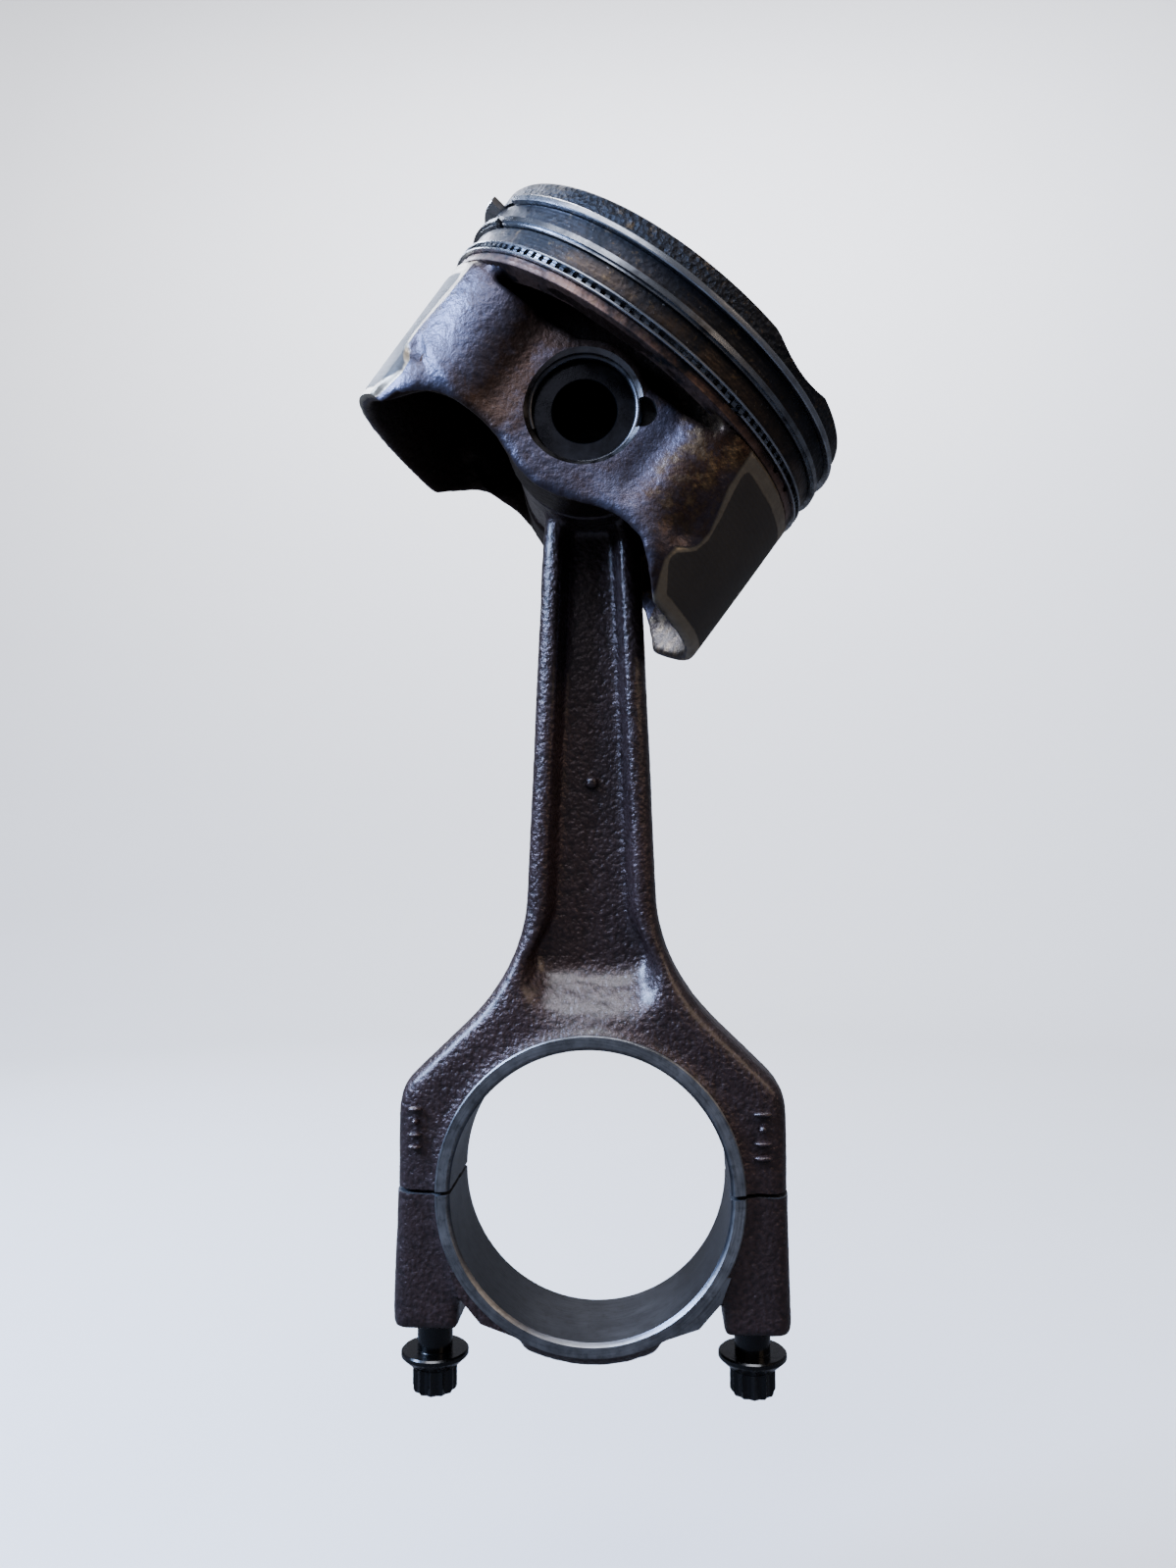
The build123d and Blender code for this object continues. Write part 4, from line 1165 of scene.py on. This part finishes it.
def make_rings(settings):
    steel = shared("lapped_ring_steel", lapped_metal, "lapped_ring_steel", list(settings.steel), 0.5)
    iron = shared("lapped_ring_iron", lapped_metal, "lapped_ring_iron", list(settings.iron), 0.75)
    r0, r1, (z0, z1) = 39.6, 42.7, TOP_GROOVE
    top = [(r0, z0), (r1 - 0.15, z0), (r1, z0 + 0.2), (r1 + 0.02, (z0 + z1) / 2), (r1, z1 - 0.2),
           (r1 - 0.15, z1), (r0, z1)]
    ring_piece("top_compression_ring", top, 215.0, 10.0, steel, "ring_steel",
               lambda share: settings.spring * float(step(share, 0.90, 1.0)) ** 1.5)
    r0, r1, (z0, z1) = 39.4, 42.6, SECOND_GROOVE
    second = [(r0, z0), (r1 - 0.5, z0), (r1 - 0.5, z0 + 0.45), (r1, z0 + 0.5), (r1 - 0.06, z1), (r0, z1)]
    ring_piece("second_compression_ring", second, 221.5, 4.0, iron, "ring_iron")
    r0, r1 = 39.2, 42.3
    low, high = OIL_GROOVE
    for node, z0, z1, gap_at, gap in (("oil_ring_upper_rail", high - RAIL, high, 35.0, 4.0),
                                      ("oil_ring_lower_rail", low, low + RAIL, 306.5, 4.5)):
        rail = [(r0, z0), (r1 - 0.1, z0), (r1, z0 + 0.12), (r1, z1 - 0.12), (r1 - 0.1, z1), (r0, z1)]
        ring_piece(node, rail, gap_at, gap, steel, "ring_steel")
    # the expander takes the most soot and is darker than the rails: soot, and painted shade in the gap
    # between the oil rails
    sooty_shaded = shared("sooty_spring_steel", lapped_metal, "sooty_spring_steel", list(settings.iron), 1.0)
    make_expander(settings, sooty_shaded)


def make_expander(settings, steel):
    """The corrugated spacer between the oil rails: a thin band with a row of folds."""
    z0, z1, inner, outer = 13.57 * MM, 14.48 * MM, 38.9 * MM, 39.9 * MM
    gap_at, gap = radians(120), radians(0.8)
    section = [(inner, z0), (outer, z0), (outer, z1), (inner, z1)]
    band = lathe("band", section, 300, steel, gap_at + gap / 2, 2 * pi - gap)
    reach, wide = 1.3 * MM, 0.5 * MM
    fold = prism("fold", [(-0.2 * MM, z0), (reach, z0), (reach, z1), (-0.2 * MM, z1)], -wide, wide)
    folds = grown(fold, circle_of_copies_tree,
                  {"Count": settings.teeth, "Radius": outer, "First angle": gap_at + gap,
                   "Sweep": 2 * pi - gap, "Material": steel})
    piece = joined("oil_ring_expander_steel", [band, folds])
    moved(piece, PISTON_TO_ROW @ Matrix.Translation((AXIS_X, 0, 0)))
    finish(piece, "oil_ring_expander_body", "ring_steel", "oil_ring_expander", sharp=30)


# ---- pin, clips and bush --------------------------------------------------------------------------
def refinish(node, material):
    """Give a frame node a better material."""
    for place in NODES[node].material_slots:
        place.material = material


def make_pin():
    refinish("wrist_pin", shared("ground_hardened_steel", ground_pin))
    wire = shared("spring_wire", bored_metal, "spring_wire", "#75767b", "#303034", 1.18)
    for node in ("circlip_front", "circlip_rear"):
        refinish(node, wire)
    bronze = shared("bored_bearing_bronze", bored_metal, "bored_bearing_bronze", "#b98a55", "#6b4524", 0.69)
    refinish("small_end_bush", bronze)


# ---- stage ----------------------------------------------------------------------------------------
def make_stage(settings):
    """A pale dish that curves up into its own backdrop, window light from the left, and the camera."""
    # low enough for the cap and its bolts to slide right off the rod
    travel = -JOINTS["cap_slide"]["range_m"][0] - JOINTS["bolt_left_slide"]["range_m"][0]
    floor_z = CAD_BOX[0][2] - travel - 4 * MM
    flat, wide, lift = 0.9, 2.0, 3.4
    rim = [(0, floor_z), (flat, floor_z)]
    for i in range(1, 13):
        turn = radians(90 * i / 12)
        rim.append((flat + (wide - flat) * sin(turn), floor_z + lift * (1 - cos(turn))))
    outline = rim + [(r + 0.02 if r else 0, z - 0.02) for r, z in reversed(rim)]
    dish = lathe("stage_floor", outline, 96, shared("matt_floor_paint", matt_paint, list(settings.floor)))
    dish.data.shade_smooth()
    world = bpy.data.worlds.new("studio")
    world.use_nodes = True
    world.node_tree.nodes["Background"].inputs[0].default_value = linear("#dfe6f2")
    world.node_tree.nodes["Background"].inputs[1].default_value = 0.25
    bpy.context.scene.world = world
    middle = Vector((0.0, 0.0, 0.075))
    walls = {"backdrop_wash": Vector((0.0, 1.6, 0.6)), "front_wash": Vector((0.0, -1.7, 0.6)),
             "left_wash": Vector((-2.0, 0.0, 1.2)), "right_wash": Vector((2.0, 0.0, 1.2))}
    lamps = (("window", (-0.62, -0.24, 0.52), 0.34, settings.key, "#aecbff"),
             ("warm_fill", (0.60, -0.42, 0.46), 0.40, settings.fill, "#ffe4c6"),
             ("backdrop_wash", (0.0, 0.75, 1.5), 0.90, settings.wash, "#f4f6ff"),
             ("high_card", (-0.26, -0.52, 0.72), 0.60, 0.16 * settings.key, "#dfe4f4"),
             ("front_wash", (0.0, -0.80, 1.5), 0.90, 0.6 * settings.wash, "#f4f6ff"),
             ("left_wash", (-1.0, 0.0, 1.2), 0.90, 0.5 * settings.wash, "#f4f6ff"),
             ("right_wash", (1.0, 0.0, 1.2), 0.90, 0.5 * settings.wash, "#f4f6ff"),
             ("rim", (-0.42, 0.42, 0.62), 0.25, 0.25 * settings.key, "#e0eaff"))
    for name, at, size, power, tint in lamps:
        light = bpy.data.lights.new(name, "AREA")
        light.energy = power
        light.size = size
        light.color = linear(tint)[:3]
        lamp = new_object(name, light)
        lamp.location = at
        aim = walls.get(name, middle)
        lamp.rotation_euler = (aim - Vector(at)).to_track_quat("-Z", "Y").to_euler()
        lamp.visible_camera = False
    place_camera()


def place_camera():
    """A close, slightly upward view from a little to the right."""
    at, yaw, pitch = Vector((12.55, -227.47, 63.35)) * MM, -0.059, 0.063
    ahead = Vector((sin(yaw) * cos(pitch), cos(yaw) * cos(pitch), sin(pitch)))
    right = Vector((cos(yaw), -sin(yaw), 0.0))
    up = right.cross(ahead)
    lens = bpy.data.cameras.new("camera")
    lens.sensor_fit = "VERTICAL"
    lens.sensor_height = 36.0
    lens.lens = 26.03
    lens.clip_start = 0.005
    camera = new_object("camera", lens)
    camera.matrix_world = Matrix.Translation(at) @ Matrix((right, up, -ahead)).transposed().to_4x4()
    bpy.context.scene.camera = camera


# ---- operators and panel --------------------------------------------------------------------------
class PISTON_OT_rod(bpy.types.Operator):
    """Build the forged connecting rod"""
    bl_idname = "piston.rod"
    bl_label = "Connecting rod"

    def execute(self, context):
        make_rod(context.scene.piston_rod)
        return {"FINISHED"}


class PISTON_OT_cap(bpy.types.Operator):
    """Build the rod cap that was split from the forging"""
    bl_idname = "piston.cap"
    bl_label = "Rod cap"

    def execute(self, context):
        make_cap(context.scene.piston_rod)
        return {"FINISHED"}


class PISTON_OT_bolts(bpy.types.Operator):
    """Build the two rod bolts"""
    bl_idname = "piston.bolts"
    bl_label = "Rod bolts"

    def execute(self, context):
        for side in ("left", "right"):
            make_bolt(context.scene.piston_bolts, side)
        return {"FINISHED"}


class PISTON_OT_casting(bpy.types.Operator):
    """Build the cast piston body with its skirts and pin bosses"""
    bl_idname = "piston.casting"
    bl_label = "Piston casting"

    def execute(self, context):
        make_casting(context.scene.piston_body)
        return {"FINISHED"}


class PISTON_OT_belt(bpy.types.Operator):
    """Build the turned ring belt and crown"""
    bl_idname = "piston.belt"
    bl_label = "Ring belt and crown"

    def execute(self, context):
        make_belt(context.scene.piston_body)
        return {"FINISHED"}


class PISTON_OT_rings(bpy.types.Operator):
    """Build the compression rings and the three-piece oil ring"""
    bl_idname = "piston.rings"
    bl_label = "Piston rings"

    def execute(self, context):
        make_rings(context.scene.piston_rings)
        return {"FINISHED"}


class PISTON_OT_pin(bpy.types.Operator):
    """Finish the wrist pin, its clips and the small-end bush"""
    bl_idname = "piston.pin"
    bl_label = "Wrist pin, clips and bush"

    def execute(self, context):
        make_pin()
        return {"FINISHED"}


class PISTON_OT_stage(bpy.types.Operator):
    """Set up the floor, lights and camera"""
    bl_idname = "piston.stage"
    bl_label = "Stage"

    def execute(self, context):
        make_stage(context.scene.piston_stage)
        return {"FINISHED"}


OPERATORS = (PISTON_OT_rod, PISTON_OT_cap, PISTON_OT_bolts, PISTON_OT_casting, PISTON_OT_belt,
             PISTON_OT_rings, PISTON_OT_pin, PISTON_OT_stage)
SETTINGS = {"piston_rod": RodSettings, "piston_bolts": BoltSettings, "piston_body": PistonSettings,
            "piston_rings": RingSettings, "piston_stage": StageSettings}


class PISTON_PT_sidebar(bpy.types.Panel):
    """Sizes, colours and the steps that build the piston and rod"""
    bl_idname = "PISTON_PT_sidebar"
    bl_label = "Piston and connecting rod"
    bl_space_type = "VIEW_3D"
    bl_region_type = "UI"
    bl_category = "Piston"

    def draw(self, context):
        for name, group in SETTINGS.items():
            box = self.layout.box()
            for field in group.__annotations__:
                box.prop(getattr(context.scene, name), field)
        for operator in OPERATORS:
            self.layout.operator(operator.bl_idname)


def register():
    for group in (*SETTINGS.values(), *OPERATORS, PISTON_PT_sidebar):
        bpy.utils.register_class(group)
    for name, group in SETTINGS.items():
        setattr(bpy.types.Scene, name, bpy.props.PointerProperty(type=group))


def unregister():
    for name in SETTINGS:
        delattr(bpy.types.Scene, name)
    for group in reversed((*SETTINGS.values(), *OPERATORS, PISTON_PT_sidebar)):
        bpy.utils.unregister_class(group)


def main():
    register()
    for operator in (bpy.ops.piston.stage, bpy.ops.piston.rod, bpy.ops.piston.cap, bpy.ops.piston.bolts,
                     bpy.ops.piston.casting, bpy.ops.piston.belt, bpy.ops.piston.rings, bpy.ops.piston.pin):
        operator()


if __name__ == "__main__":
    main()
